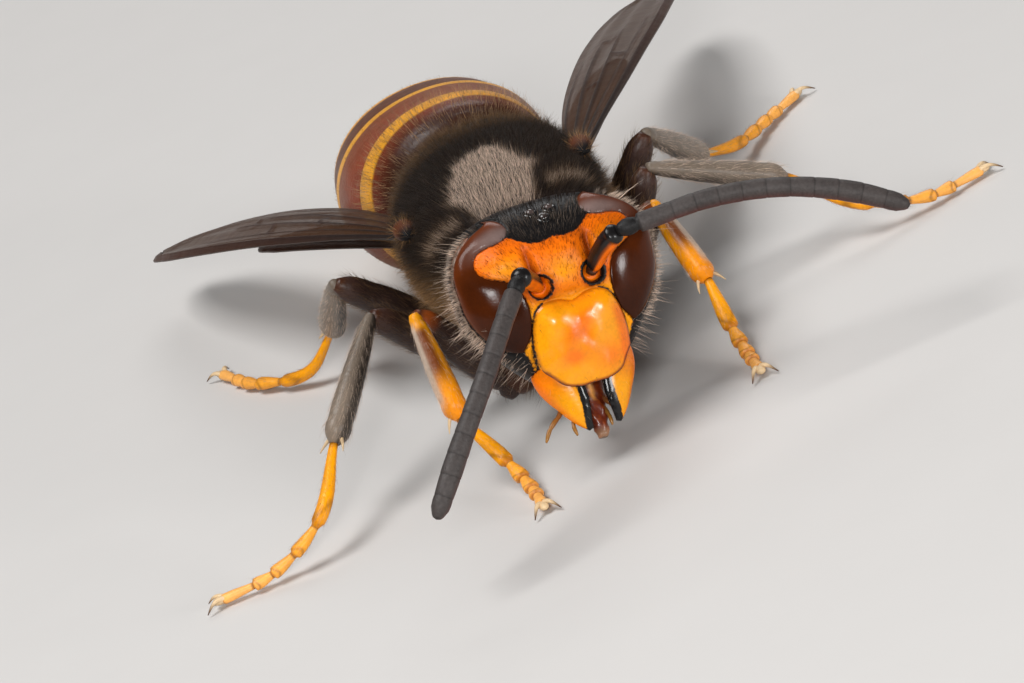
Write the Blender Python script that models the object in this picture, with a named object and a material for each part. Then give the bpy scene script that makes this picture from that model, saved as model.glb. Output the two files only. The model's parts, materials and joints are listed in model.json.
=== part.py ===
"""Asian hornet at life size, a still museum model that stands on its six feet.

All sizes and places below are in millimetres and are turned into metres when a mesh is made.
The model faces -Y, its left side is +X and its soles lie at Z = 0. Every node is one closed body,
and neighbours keep a narrow gap. The head has its own frame (x left, y back, z up), which is
turned into the pose by HEAD_TURN; the thorax has one too, turned by THORAX_PITCH.
"""

import bmesh
import bpy
import numpy as np
from mathutils import Matrix

MM = 0.001
GAP = 0.25
SIDES = ("right", "left")
SIGN = {"right": -1.0, "left": 1.0}

# The middle of the model's floor plan and the lowest point of its soles, taken off every point
PLAN_MIDDLE = (0.48, 2.97, 0.0)

# Head: place, turn in degrees about up, across and along, and driving sizes
HEAD_CENTRE = (0.06, -5.31, 4.34)
HEAD_TURN = (10.5, -12.9, 12.2)
HEAD_MIDDLE = -0.15
HEAD_HALF_WIDTH = 2.56
HEAD_FRONT = 1.35
HEAD_BACK = 0.97
HEAD_TOP = 1.74
HEAD_CHIN = 2.80
HEAD_ROUNDNESS = 2.6
CHEEK_TAPER = 0.25
CROWN_LEAN = 0.22
SOCKET_PLACE = (0.68, -0.22)
SOCKET_RADIUS = 0.30
SOCKET_DEPTH = 0.16
OCELLI = ((0.0, 1.35), (-0.24, 1.53), (0.24, 1.53))
OCELLUS_RADIUS = 0.15
OCELLUS_RISE = 0.07

# Eye: its kidney-shaped inner rim on the face, from the top down, and its outer rim
EYE_INNER_RIM = ((1.36, 1.62), (1.04, 1.53), (0.97, 1.34), (1.09, 1.17), (1.34, 1.08), (1.62, 1.04),
                 (1.86, 0.95), (2.02, 0.76), (2.01, 0.50), (1.86, 0.33), (1.62, 0.21), (1.36, 0.08),
                 (1.14, -0.28), (1.08, -0.62), (1.11, -0.96), (1.20, -1.30), (1.42, -1.61))
EYE_OUTER_RIM = ((1.36, -0.80, 1.62), (1.78, -0.72, 1.47), (2.06, -0.75, 1.18), (2.30, -0.82, 0.66),
                 (2.40, -0.84, 0.10), (2.34, -0.84, -0.32), (2.17, -0.86, -0.78), (1.98, -0.90, -1.12),
                 (1.72, -1.00, -1.42), (1.42, -1.15, -1.61))
EYE_BULGE = 0.14
EYE_DEPTH = 0.55

# Clypeus: the shield over the mouth, its outline from the top middle down one side
CLYPEUS_CENTRE = (0.0, -1.66)
CLYPEUS_OUTLINE = ((0.0, -0.70), (0.40, -0.61), (0.72, -0.62), (0.92, -0.74), (1.10, -1.08), (1.18, -1.45),
                   (1.19, -1.90), (1.14, -2.18), (0.97, -2.40), (0.76, -2.64), (0.42, -2.77), (0.0, -2.78))
CLYPEUS_EDGE_FRONT = ((-2.8, 1.50), (-2.2, 1.30), (-1.6, 1.32), (-1.0, 1.42), (-0.6, 1.50))
CLYPEUS_BULGE = 0.40
CLYPEUS_ROOT = 0.75

# Mandibles and mouthparts, in the head's frame (x is mirrored for the right side)
MANDIBLE_PATH = ((0.86, -0.70, -2.00), (0.77, -0.93, -2.50), (0.61, -1.08, -3.00), (0.53, -1.14, -3.32),
                 (0.45, -1.19, -3.60), (0.35, -1.24, -3.86))
MANDIBLE_HALF_WIDTH = (0.50, 0.58, 0.55, 0.45, 0.29, 0.09)
MANDIBLE_HALF_DEPTH = (0.36, 0.34, 0.28, 0.22, 0.17, 0.09)
MANDIBLE_FACING = (0.45, -0.89, 0.0)
MOUTH_PATH = ((0.0, -0.55, -2.30), (0.0, -0.62, -3.0), (-0.02, -0.80, -3.60), (-0.06, -1.05, -4.14))
MOUTH_HALF_WIDTH = (0.44, 0.40, 0.32, 0.15)
MOUTH_HALF_DEPTH = (0.28, 0.28, 0.25, 0.14)

# Feelers: the scape's far end and the flagellum's path, in the model's frame
SCAPE_HALF_WIDTH = ((0.0, 0.17), (0.12, 0.21), (0.5, 0.23), (0.85, 0.25), (0.97, 0.22), (1.0, 0.15))
FLAGELLUM_PATH = {
    "right": ((-0.84, -8.35, 5.58), (-1.68, -9.28, 5.10), (-2.59, -10.10, 4.44), (-4.02, -11.10, 3.36),
              (-5.22, -11.80, 2.32)),
    "left": ((1.80, -7.46, 5.26), (2.75, -7.50, 5.17), (4.01, -7.62, 5.06), (6.03, -7.98, 4.50),
             (7.24, -8.32, 3.86), (8.35, -8.72, 3.04)),
}
FLAGELLUM_RINGS = 11
FLAGELLUM_HALF_WIDTH = ((0.0, 0.19), (0.04, 0.22), (0.2, 0.24), (0.6, 0.25), (0.9, 0.24), (0.97, 0.20),
                        (1.0, 0.12))
RING_GROOVE = 0.035

# Thorax: place, pitch in degrees (nose down), and its profile along its own length, out to the tips of
# its dense coat
THORAX_CENTRE = (-0.04, 0.0, 4.41)
THORAX_PITCH = 3.4
THORAX_STATIONS = (-3.72, -3.55, -3.2, -2.65, -1.9, -0.9, 0.2, 1.2, 1.9, 2.5, 3.05, 3.5, 3.75)
THORAX_HALF_WIDTH = (0.75, 1.25, 1.85, 2.28, 2.57, 2.68, 2.66, 2.54, 2.36, 2.06, 1.62, 1.06, 0.62)
THORAX_TOP = (0.82, 1.26, 1.80, 2.14, 2.36, 2.42, 2.38, 2.24, 2.04, 1.64, 1.16, 0.62, 0.27)
THORAX_BOTTOM = (0.50, 0.95, 1.55, 2.05, 2.38, 2.48, 2.50, 2.42, 2.25, 1.90, 1.45, 0.92, 0.55)
THORAX_ROUNDNESS = 2.25

# Grooves across the back of the thorax: place, depth and half width; they fade down the sides
THORAX_GROOVES = ((-2.15, 0.09, 0.24), (1.42, 0.15, 0.26), (2.25, 0.12, 0.22))
SCUTELLUM_RISE = 0.10

# Gaster: stations along Y, with the centre's height, half width and half height
GASTER_BEND = (-0.22, 8.5)
GASTER_STATIONS = (4.5, 4.72, 5.15, 5.8, 6.7, 7.8, 9.0, 10.5, 12.0, 13.5, 15.0, 16.1, 16.85)
GASTER_CENTRE_Z = (3.92, 3.86, 3.72, 3.52, 3.28, 3.00, 2.78, 2.61, 2.45, 2.26, 2.07, 1.93, 1.84)
GASTER_HALF_WIDTH = (0.85, 1.55, 2.10, 2.42, 2.58, 2.78, 2.86, 2.80, 2.56, 2.12, 1.50, 0.88, 0.26)
GASTER_HALF_HEIGHT = (0.80, 1.45, 1.95, 2.22, 2.34, 2.38, 2.36, 2.26, 2.04, 1.68, 1.20, 0.70, 0.22)
GASTER_EDGES = (4.5, 6.75, 9.7, 12.0, 13.8, 15.3, 16.85)
GASTER_STEP = 0.09

# Wings: root, direction away from the body's line in degrees, droop at the tip, and strip sizes
WING_ROOT = (2.36, -0.55, 5.12)
WING_SPLAY = {"right": 15.5, "left": 16.0}
WING_DROOP = {"right": 3.7, "left": 3.1}
FOREWING_LENGTH = 19.0
HINDWING_LENGTH = 12.8
WING_THICKNESS = 0.5
HINDWING_DROP = 0.82
HINDWING_INWARD = 0.60
FOREWING_HALF_WIDTH = ((0.0, 0.34), (0.06, 0.50), (0.2, 0.80), (0.45, 1.10), (0.7, 1.18), (0.86, 1.02),
                       (0.95, 0.70), (1.0, 0.18))
HINDWING_HALF_WIDTH = ((0.0, 0.26), (0.1, 0.38), (0.35, 0.60), (0.65, 0.68), (0.85, 0.60), (0.96, 0.38),
                       (1.0, 0.14))
TEGULA_CENTRE = (2.44, -1.05, 5.50)
TEGULA_HALF_SIZES = (0.55, 0.62, 0.45)
WING_TILT = -3.0
VEIN_RISE = 0.12
VEIN_HALF_WIDTH = 0.10
FOREWING_VEINS = (-0.82, -0.30, 0.25, 0.80)
HINDWING_VEINS = (-0.70, 0.25)

# Legs: coxa root and end, knee, ankle, then the tarsus path down to the toes
LEGS = {
    "front_right": ((-1.00, -2.75, 2.20), (-1.74, -3.20, 1.08), (-3.23, -3.66, 4.25), (-3.37, -5.36, 1.92),
                    (-2.86, -6.25, 0.86), (-2.62, -7.35, 0.30), (-2.60, -8.50, 0.17)),
    "front_left": ((0.80, -2.75, 2.40), (1.30, -2.95, 1.40), (3.42, -1.40, 3.35), (3.71, -3.46, 1.64),
                   (3.64, -4.70, 0.72), (3.65, -5.75, 0.28), (3.66, -6.70, 0.17)),
    "middle_right": ((-1.36, -0.10, 2.05), (-2.06, -0.13, 0.95), (-4.06, -1.35, 3.91), (-6.32, -3.48, 2.08),
                     (-7.60, -5.05, 0.98), (-9.02, -5.02, 0.32), (-10.50, -4.74, 0.17)),
    "middle_left": ((1.30, -0.10, 2.05), (1.98, -0.09, 0.95), (3.74, -0.50, 3.93), (6.87, -0.18, 2.00),
                    (8.25, -1.35, 0.88), (9.80, -1.42, 0.32), (11.40, -1.00, 0.17)),
    "hind_right": ((-1.25, 1.95, 2.10), (-2.03, 2.70, 0.98), (-4.36, 2.00, 3.89), (-4.75, 6.10, 1.40),
                   (-5.56, 6.50, 0.56), (-6.92, 8.02, 0.25), (-7.68, 10.25, 0.17)),
    "hind_left": ((1.20, 1.95, 2.10), (2.05, 2.70, 0.98), (4.30, 2.00, 3.89), (5.81, 6.02, 1.30),
                  (6.95, 7.60, 0.60), (8.12, 9.30, 0.25), (9.22, 10.35, 0.17)),
}
COXA_HALF_WIDTH = ((0.0, 0.85), (0.35, 0.82), (0.7, 0.62), (0.92, 0.42), (1.0, 0.20))
FEMUR_HALF_WIDTH = ((0.0, 0.22), (0.05, 0.28), (0.14, 0.27), (0.22, 0.34), (0.45, 0.44), (0.75, 0.40),
                    (0.93, 0.32), (1.0, 0.16))
TIBIA_HALF_WIDTH = ((0.0, 0.17), (0.06, 0.24), (0.15, 0.27), (0.5, 0.36), (0.8, 0.38), (0.95, 0.32),
                    (1.0, 0.16))
TARSUS_JOINTS = (0.0, 0.44, 0.60, 0.73, 0.83, 1.0)
TARSUS_HALF_WIDTH = (0.25, 0.25, 0.25, 0.25, 0.22)
TARSUS_WAIST = 0.20
CLAW_LENGTH = 0.55
CLAW_RADIUS = 0.16
SPUR_LENGTH = 0.55
SPUR_RADIUS = 0.14
SPUR_SPREAD = 0.45
LEG_SIDES = 8

# Colour, roughness and metallic value of each finish
FINISHES = {
    "orange_shell": ((0.85, 0.30, 0.03), 0.35, 0.0),
    "dark_shell": ((0.035, 0.025, 0.02), 0.45, 0.0),
    "brown_shell": ((0.11, 0.045, 0.02), 0.45, 0.0),
    "ochre_shell": ((0.70, 0.34, 0.06), 0.40, 0.0),
    "yellow_shell": ((0.90, 0.55, 0.06), 0.38, 0.0),
    "eye_shell": ((0.12, 0.03, 0.02), 0.20, 0.0),
    "feeler_shell": ((0.05, 0.045, 0.045), 0.60, 0.0),
    "wing_film": ((0.16, 0.09, 0.05), 0.30, 0.0),
}


def smoothstep(low, high, value):
    """Rises from 0 to 1 between two values, flat at both ends."""
    t = np.clip((np.asarray(value, float) - low) / (high - low), 0.0, 1.0)
    return t * t * (3.0 - 2.0 * t)


def through(places, values, at):
    """Smooth curve through values given at rising places; values may be numbers or points."""
    places = np.asarray(places, float)
    values = np.asarray(values, float)
    at = np.clip(np.asarray(at, float), places[0], places[-1])
    slopes = np.gradient(values, places, axis=0)
    k = np.clip(np.searchsorted(places, at, side="right") - 1, 0, len(places) - 2)
    h = places[k + 1] - places[k]
    t = (at - places[k]) / h
    if values.ndim > 1:
        t = t[:, None]
        h = h[:, None]
    return ((2 * t**3 - 3 * t**2 + 1) * values[k] + (t**3 - 2 * t**2 + t) * h * slopes[k]
            + (3 * t**2 - 2 * t**3) * values[k + 1] + (t**3 - t**2) * h * slopes[k + 1])


def profile(keys, at):
    """Reads a profile given as pairs of place and size."""
    places, sizes = zip(*keys)
    return through(places, sizes, at)


def along(points, at):
    """Points of a smooth path, at fractions of its length."""
    points = np.asarray(points, float)
    steps = np.linalg.norm(np.diff(points, axis=0), axis=1)
    places = np.concatenate([[0.0], np.cumsum(steps)])
    return through(places / places[-1], points, at)


def turn(axis, degrees):
    """Rotation matrix about one axis."""
    return np.array(Matrix.Rotation(np.radians(degrees), 3, axis))


HEAD_MATRIX = turn("Z", HEAD_TURN[0]) @ turn("X", HEAD_TURN[1]) @ turn("Y", HEAD_TURN[2])
THORAX_MATRIX = turn("X", THORAX_PITCH)


def from_head(points):
    """Points of the head's frame, in the model's frame."""
    return np.asarray(points, float) @ HEAD_MATRIX.T + np.array(HEAD_CENTRE)


def from_thorax(points):
    """Points of the thorax's frame, in the model's frame."""
    return np.asarray(points, float) @ THORAX_MATRIX.T + np.array(THORAX_CENTRE)


def ring_body(rings):
    """Closed body through rings of equal count, each end closed by a fan to its middle."""
    rings = np.asarray(rings, float)
    count, sides = rings.shape[:2]
    points = rings.reshape(-1, 3)
    first = len(points)
    points = np.vstack([points, rings[0].mean(0), rings[-1].mean(0)])
    faces = []
    for i in range(count - 1):
        for j in range(sides):
            a, b = i * sides + j, i * sides + (j + 1) % sides
            faces.append((a, b, b + sides))
            faces.append((a, b + sides, a + sides))
    last = (count - 1) * sides
    for j in range(sides):
        k = (j + 1) % sides
        faces.append((first, k, j))
        faces.append((first + 1, last + j, last + k))
    return points, faces


def limb(path, half_width, half_depth, sides, side_hint):
    """Tube with oval sections along a path; the width lies across side_hint's plane."""
    path = np.asarray(path, float)
    ahead = np.gradient(path, axis=0)
    ahead /= np.linalg.norm(ahead, axis=1)[:, None]
    across = np.cross(ahead, np.asarray(side_hint, float))
    across /= np.linalg.norm(across, axis=1)[:, None]
    over = np.cross(across, ahead)
    angle = np.linspace(0.0, 2.0 * np.pi, sides, endpoint=False)
    rings = (path[:, None]
             + np.cos(angle)[None, :, None] * (across * np.asarray(half_width)[:, None])[:, None]
             + np.sin(angle)[None, :, None] * (over * np.asarray(half_depth)[:, None])[:, None])
    return ring_body(rings)


def normals_of(points, faces):
    """Area-weighted outward normals at the points of a closed triangle mesh."""
    tri = np.asarray(faces)
    a, b, c = points[tri[:, 0]], points[tri[:, 1]], points[tri[:, 2]]
    face_normal = np.cross(b - a, c - a)
    volume = np.einsum("ij,ij->i", a, np.cross(b, c)).sum()
    total = np.zeros_like(points)
    for k in range(3):
        np.add.at(total, tri[:, k], face_normal)
    total /= np.maximum(np.linalg.norm(total, axis=1), 1e-12)[:, None]
    return total * np.sign(volume)


def grown(body, amount):
    """The same body with its surface moved outwards."""
    points, faces = body
    return points + normals_of(points, faces) * amount, faces


def temporary(name, body):
    """Object in millimetres, used only for a Boolean."""
    mesh = bpy.data.meshes.new(name)
    mesh.from_pydata([tuple(p) for p in body[0]], [], [tuple(f) for f in body[1]])
    work = bmesh.new()
    work.from_mesh(mesh)
    bmesh.ops.recalc_face_normals(work, faces=work.faces)
    work.to_mesh(mesh)
    work.free()
    return bpy.data.objects.new(name, mesh)


def largest_surface(mesh):
    """The biggest closed surface of a mesh, as points and triangles."""
    work = bmesh.new()
    work.from_mesh(mesh)
    bmesh.ops.triangulate(work, faces=work.faces)
    bmesh.ops.dissolve_degenerate(work, dist=1e-4, edges=work.edges)
    bmesh.ops.triangulate(work, faces=work.faces)
    seen = set()
    best = []
    best_size = -1.0
    for start in work.faces:
        if start in seen:
            continue
        island = []
        front = [start]
        seen.add(start)
        while front:
            face = front.pop()
            island.append(face)
            for edge in face.edges:
                for other in edge.link_faces:
                    if other not in seen:
                        seen.add(other)
                        front.append(other)
        size = sum(face.calc_area() for face in island)
        if size > best_size:
            best, best_size = island, size
    number = {}
    points = []
    faces = []
    for face in best:
        corners = []
        for vertex in face.verts:
            if vertex not in number:
                number[vertex] = len(points)
                points.append(tuple(vertex.co))
            corners.append(number[vertex])
        faces.append(tuple(corners))
    work.free()
    return np.array(points, float), faces


def is_closed(body):
    """True where every edge of a triangle mesh joins exactly two faces."""
    if not body[1]:
        return False
    corners = np.sort(np.array(body[1])[:, [0, 1, 1, 2, 2, 0]].reshape(-1, 2), axis=1)
    return bool((np.unique(corners, axis=0, return_counts=True)[1] == 2).all())


def combine(body, others, operation):
    """One Boolean of a body with a collection of closed bodies, kept as one closed surface."""
    base = temporary("base", body)
    bpy.context.scene.collection.objects.link(base)
    helpers = bpy.data.collections.new("helpers")
    for other in others:
        helpers.objects.link(temporary("helper", other))
    modifier = base.modifiers.new("combine", "BOOLEAN")
    modifier.operation = operation
    modifier.operand_type = "COLLECTION"
    modifier.collection = helpers
    for solver in ("EXACT", "MANIFOLD"):
        modifier.solver = solver
        bpy.context.view_layer.update()
        graph = bpy.context.evaluated_depsgraph_get()
        done = bpy.data.meshes.new_from_object(base.evaluated_get(graph))
        result = largest_surface(done)
        bpy.data.meshes.remove(done)
        if is_closed(result):
            break
    for thing in [*helpers.objects, base]:
        bpy.data.objects.remove(thing)
    bpy.data.collections.remove(helpers)
    if not is_closed(result):
        raise RuntimeError("a Boolean left no closed body")
    return result


def cut_clear(body, neighbours):
    """Cuts a body back so that it keeps the gap to its neighbours."""
    for neighbour in neighbours:
        body = combine(body, [grown(neighbour, GAP)], "DIFFERENCE")
    return body


def fused(body, pieces):
    """Joins small pieces, whose roots are sunk in the body, into one closed surface."""
    return combine(body, pieces, "UNION")


def finish_of(name):
    """Principled material of a named finish."""
    known = bpy.data.materials.get(name)
    if known:
        return known
    colour, roughness, metallic = FINISHES[name]
    material = bpy.data.materials.new(name)
    material.use_nodes = True
    shader = material.node_tree.nodes["Principled BSDF"]
    shader.inputs["Base Color"].default_value = (*colour, 1.0)
    shader.inputs["Roughness"].default_value = roughness
    shader.inputs["Metallic"].default_value = metallic
    return material


def make_node(name, body, finish):
    """Turns a body into the named object, in metres and centred on the floor plan."""
    points = (body[0] - np.array(PLAN_MIDDLE)) * MM
    mesh = bpy.data.meshes.new(name)
    mesh.from_pydata([tuple(p) for p in points], [], [tuple(f) for f in body[1]])
    work = bmesh.new()
    work.from_mesh(mesh)
    bmesh.ops.recalc_face_normals(work, faces=work.faces)
    work.to_mesh(mesh)
    work.free()
    mesh.shade_smooth()
    mesh.set_sharp_from_angle(angle=np.radians(40.0))
    mesh.materials.append(finish_of(finish))
    thing = bpy.data.objects.new(name, mesh)
    bpy.context.scene.collection.objects.link(thing)
    return thing


# Head


def head_reach(direction):
    """Distance from the head's middle to its plain surface along each direction."""
    x, y, z = direction[:, 0], direction[:, 1], direction[:, 2]
    depth = np.where(y < 0.0, HEAD_FRONT, HEAD_BACK)
    height = np.where(z < 0.0, HEAD_CHIN, HEAD_TOP)
    power = (np.abs(x / HEAD_HALF_WIDTH) ** HEAD_ROUNDNESS + np.abs(y / depth) ** HEAD_ROUNDNESS
             + np.abs(z / height) ** HEAD_ROUNDNESS)
    return power ** (-1.0 / HEAD_ROUNDNESS)


def cheek_scale(z):
    """How far the cheeks are drawn in towards the jaws, at a height."""
    return 1.0 - CHEEK_TAPER * smoothstep(0.3, 2.6, -np.asarray(z, float))


def crown_lean(z):
    """How far the crown leans back, at a height."""
    return CROWN_LEAN * smoothstep(0.4, HEAD_TOP, z)


def on_head(directions, lift):
    """Points on the plain head surface along directions from its middle, raised by lift."""
    unit = directions / np.linalg.norm(directions, axis=1)[:, None]
    points = unit * (head_reach(unit) + lift)[:, None]
    points[:, 0] *= cheek_scale(points[:, 2])
    points[:, 1] += HEAD_MIDDLE + crown_lean(points[:, 2])
    return points


def towards(points):
    """Directions from the head's middle that lead on_head to places on its surface."""
    out = np.array(points, float)
    out[:, 0] /= cheek_scale(out[:, 2])
    out[:, 1] -= HEAD_MIDDLE + crown_lean(out[:, 2])
    return out


def face_front(x, z):
    """Depth of the plain face at a place seen from the front."""
    rest = 1.0 - np.abs(x / cheek_scale(z) / HEAD_HALF_WIDTH) ** HEAD_ROUNDNESS
    height = np.where(np.asarray(z) < 0.0, HEAD_CHIN, HEAD_TOP)
    rest = rest - np.abs(z / height) ** HEAD_ROUNDNESS
    return HEAD_MIDDLE - HEAD_FRONT * np.maximum(rest, 0.0) ** (1.0 / HEAD_ROUNDNESS) + crown_lean(z)


def cube_ball(steps):
    """Unit directions and faces of a ball made from a cube, with no poles."""
    lines = np.tan(np.linspace(-np.pi / 4, np.pi / 4, steps + 1))
    number = {}
    points = []
    faces = []

    def corner(point):
        key = tuple(np.round(point, 6))
        if key not in number:
            number[key] = len(points)
            points.append(point / np.linalg.norm(point))
        return number[key]

    for axis in range(3):
        for sign in (-1.0, 1.0):
            grid = np.empty((steps + 1, steps + 1), int)
            for i, u in enumerate(lines):
                for j, v in enumerate(lines):
                    point = np.empty(3)
                    point[axis] = sign
                    point[(axis + 1) % 3] = u
                    point[(axis + 2) % 3] = v
                    grid[i, j] = corner(point)
            for i in range(steps):
                for j in range(steps):
                    quad = [grid[i, j], grid[i + 1, j], grid[i + 1, j + 1], grid[i, j + 1]]
                    if sign < 0.0:
                        quad.reverse()
                    faces.append((quad[0], quad[1], quad[2]))
                    faces.append((quad[0], quad[2], quad[3]))
    return np.array(points), faces


def face_relief(points):
    """Forms of the face, as movement forwards: shield between the feelers, sockets and ocelli."""
    x, y, z = points[:, 0], points[:, 1], points[:, 2]
    frontness = smoothstep(0.2, 0.9, -y)
    rise = 0.16 * np.exp(-((x / 0.5) ** 2 + ((z + 0.30) / 0.55) ** 2))
    for sign in (-1.0, 1.0):
        away = np.hypot(x - sign * SOCKET_PLACE[0], z - SOCKET_PLACE[1])
        rise = rise - (SOCKET_DEPTH + 0.06) * (1.0 - smoothstep(0.5, 1.3, away / SOCKET_RADIUS))
    rise = rise - 0.10 * np.exp(-((z - 0.75) / 0.45) ** 2) * np.exp(-(x / 0.3) ** 2)
    moved = points.copy()
    moved[:, 1] -= rise * frontness
    return moved


def ocellus_domes(steps):
    """The three simple eyes on the crown, as domes rooted in the head."""
    domes = []
    for x, z in OCELLI:
        unit = towards([(x, face_front(x, z), z)])
        centre = on_head(unit, -OCELLUS_RADIUS + OCELLUS_RISE)[0]
        ball, faces = cube_ball(steps)
        domes.append((from_head(centre + ball * OCELLUS_RADIUS), faces))
    return domes


def eye_patch(side, steps_across, steps_down, extra):
    """Kidney-shaped lens lying in the head's surface; extra makes it bigger all round."""
    rim_t = np.linspace(0.0, 1.0, steps_down + 1)
    inner = along(EYE_INNER_RIM, rim_t)
    way = np.gradient(inner, axis=0)
    way /= np.linalg.norm(way, axis=1)[:, None]
    inner = inner + np.stack([way[:, 1], -way[:, 0]], axis=1) * extra
    inner = np.stack([inner[:, 0], face_front(inner[:, 0], inner[:, 1]), inner[:, 1]], axis=1)
    outer = along(EYE_OUTER_RIM, rim_t)
    away = outer - outer.mean(0)
    outer = outer + away / np.linalg.norm(away, axis=1)[:, None] * extra
    inner[0] = outer[0] = (inner[0] + outer[0]) / 2.0
    inner[-1] = outer[-1] = (inner[-1] + outer[-1]) / 2.0
    front = []
    back = []
    for s in np.linspace(0.0, 1.0, steps_across + 1):
        direction = towards((1.0 - s) * inner + s * outer)
        swell = np.sqrt(np.clip(4.0 * s * (1.0 - s), 0.0, 1.0)) * np.ones(len(rim_t))
        swell *= np.sqrt(np.clip(1.0 - (2.0 * rim_t - 1.0) ** 8, 0.0, 1.0))
        front.append(on_head(direction, (EYE_BULGE + extra) * swell))
        back.append(on_head(direction, -(EYE_DEPTH + extra) * swell))
    front = np.array(front)
    back = np.array(back)
    points = []
    number = {}
    faces = []

    def corner(sheet, i, j):
        rim = i in (0, steps_across) or j in (0, steps_down)
        if j in (0, steps_down):
            i = 0
        key = (0 if rim else sheet, i, j)
        if key not in number:
            number[key] = len(points)
            points.append((front if sheet == 0 or rim else back)[i, j])
        return number[key]

    for sheet in (0, 1):
        for i in range(steps_across):
            for j in range(steps_down):
                quad = [corner(sheet, i, j), corner(sheet, i + 1, j), corner(sheet, i + 1, j + 1),
                        corner(sheet, i, j + 1)]
                if sheet:
                    quad.reverse()
                for tri in ((quad[0], quad[1], quad[2]), (quad[0], quad[2], quad[3])):
                    if len(set(tri)) == 3:
                        faces.append(tri)
    points = np.array(points)
    points[:, 0] *= SIGN[side]
    return from_head(points), faces


def clypeus_plate(steps_out, steps_round, extra):
    """Bulging shield over the mouth, closed at the back inside the head; extra swells it."""
    half = np.array(CLYPEUS_OUTLINE)
    loop = np.vstack([half, (half * [-1.0, 1.0])[-2:0:-1]])
    loop = np.vstack([loop, loop[:1]])
    rim = along(loop, np.linspace(0.0, 1.0, steps_round + 1))[:-1]
    centre = np.array(CLYPEUS_CENTRE)
    spokes = rim - centre
    rim = rim + spokes / np.linalg.norm(spokes, axis=1)[:, None] * extra
    heights, fronts = zip(*CLYPEUS_EDGE_FRONT)
    rings = []
    for out in np.linspace(1.0 / steps_out, 1.0, steps_out):
        flat = centre + (rim - centre) * out
        depth = -through(heights, fronts, flat[:, 1]) - CLYPEUS_BULGE * (1.0 - out**2.6) - extra
        rings.append(np.stack([flat[:, 0], depth, flat[:, 1]], axis=1))
    back = rings[-1].copy()
    back[:, 0] *= 0.8
    back[:, 1] += CLYPEUS_ROOT + extra
    back[:, 2] = centre[1] + (back[:, 2] - centre[1]) * 0.8
    rings.append(back)
    return ring_body([from_head(ring) for ring in rings])


def head_body(steps):
    """The head without its eyes."""
    ball, faces = cube_ball(steps)
    plain = on_head(ball, 0.0)
    return from_head(face_relief(plain)), faces


def make_head():
    """Head capsule with clypeus and ocelli, its eyes, jaws and mouthparts."""
    bare = head_body(12)
    shield = clypeus_plate(3, 24, 0.0)
    around_shield = clypeus_plate(3, 24, GAP)
    head = fused(bare, [shield, *ocellus_domes(2)])
    eyes = {side: eye_patch(side, 5, 26, 0.0) for side in SIDES}
    for side in SIDES:
        head = combine(head, [eye_patch(side, 5, 26, GAP)], "DIFFERENCE")
    mandibles = {}
    for side in SIDES:
        at = np.linspace(0.0, 1.0, 8)
        path = along(MANDIBLE_PATH, at) * [SIGN[side], 1.0, 1.0]
        places = np.linspace(0.0, 1.0, len(MANDIBLE_PATH))
        width = through(places, MANDIBLE_HALF_WIDTH, at)
        depth = through(places, MANDIBLE_HALF_DEPTH, at)
        facing = np.array(MANDIBLE_FACING) * [SIGN[side], 1.0, 1.0]
        points, faces = limb(path, width, depth, 10, facing)
        mandibles[side] = (from_head(points), faces)
    at = np.linspace(0.0, 1.0, 6)
    places = np.linspace(0.0, 1.0, len(MOUTH_PATH))
    points, faces = limb(along(MOUTH_PATH, at), through(places, MOUTH_HALF_WIDTH, at),
                         through(places, MOUTH_HALF_DEPTH, at), 10, (0.0, -1.0, 0.0))
    mouth = cut_clear((from_head(points), faces), [bare, mandibles["right"], mandibles["left"]])
    mouth = combine(mouth, [around_shield], "DIFFERENCE")
    make_node("head", head, "orange_shell")
    for side in SIDES:
        make_node(f"eye_{side}", eyes[side], "eye_shell")
        mandible = combine(cut_clear(mandibles[side], [bare]), [around_shield], "DIFFERENCE")
        make_node(f"mandible_{side}", mandible, "yellow_shell")
    make_node("mouthparts", mouth, "brown_shell")
    return bare


# Feelers


def make_feelers(head):
    """Scape and ringed flagellum on each side."""
    for side in SIDES:
        x = SIGN[side] * SOCKET_PLACE[0]
        z = SOCKET_PLACE[1]
        socket = from_head([(x, face_front(x, z) + 0.25, z)])[0]
        elbow = np.array(FLAGELLUM_PATH[side][0])
        at = np.linspace(0.0, 1.0, 9)
        path = socket + (elbow - socket) * at[:, None]
        width = profile(SCAPE_HALF_WIDTH, at)
        scape = limb(path, width, width, LEG_SIDES, (0.3, 0.5, 1.0))
        at = [0.0]
        for ring in range(FLAGELLUM_RINGS):
            start = ring / FLAGELLUM_RINGS
            at += [start + 0.25 / FLAGELLUM_RINGS, start + 0.80 / FLAGELLUM_RINGS]
            at += [start + 1.0 / FLAGELLUM_RINGS]
        at = np.array(at)
        width = profile(FLAGELLUM_HALF_WIDTH, at)
        width[3:-1:3] -= RING_GROOVE
        path = along(FLAGELLUM_PATH[side], at)
        flagellum = cut_clear(limb(path, width, width, LEG_SIDES, (0.2, 0.3, 1.0)), [scape, head])
        make_node(f"scape_{side}", cut_clear(scape, [head]), "feeler_shell")
        make_node(f"flagellum_{side}", flagellum, "feeler_shell")


# Thorax and gaster


def oval_ring(half_width, up, down, sides, roundness):
    """Section across the body, with its own reach upwards and downwards."""
    angle = np.linspace(0.0, 2.0 * np.pi, sides, endpoint=False)
    c, s = np.cos(angle), np.sin(angle)
    power = 2.0 / roundness
    x = half_width * np.sign(c) * np.abs(c) ** power
    z = np.where(s > 0.0, up, down) * np.sign(s) * np.abs(s) ** power
    return np.stack([x, np.zeros(sides), z], axis=1)


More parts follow.
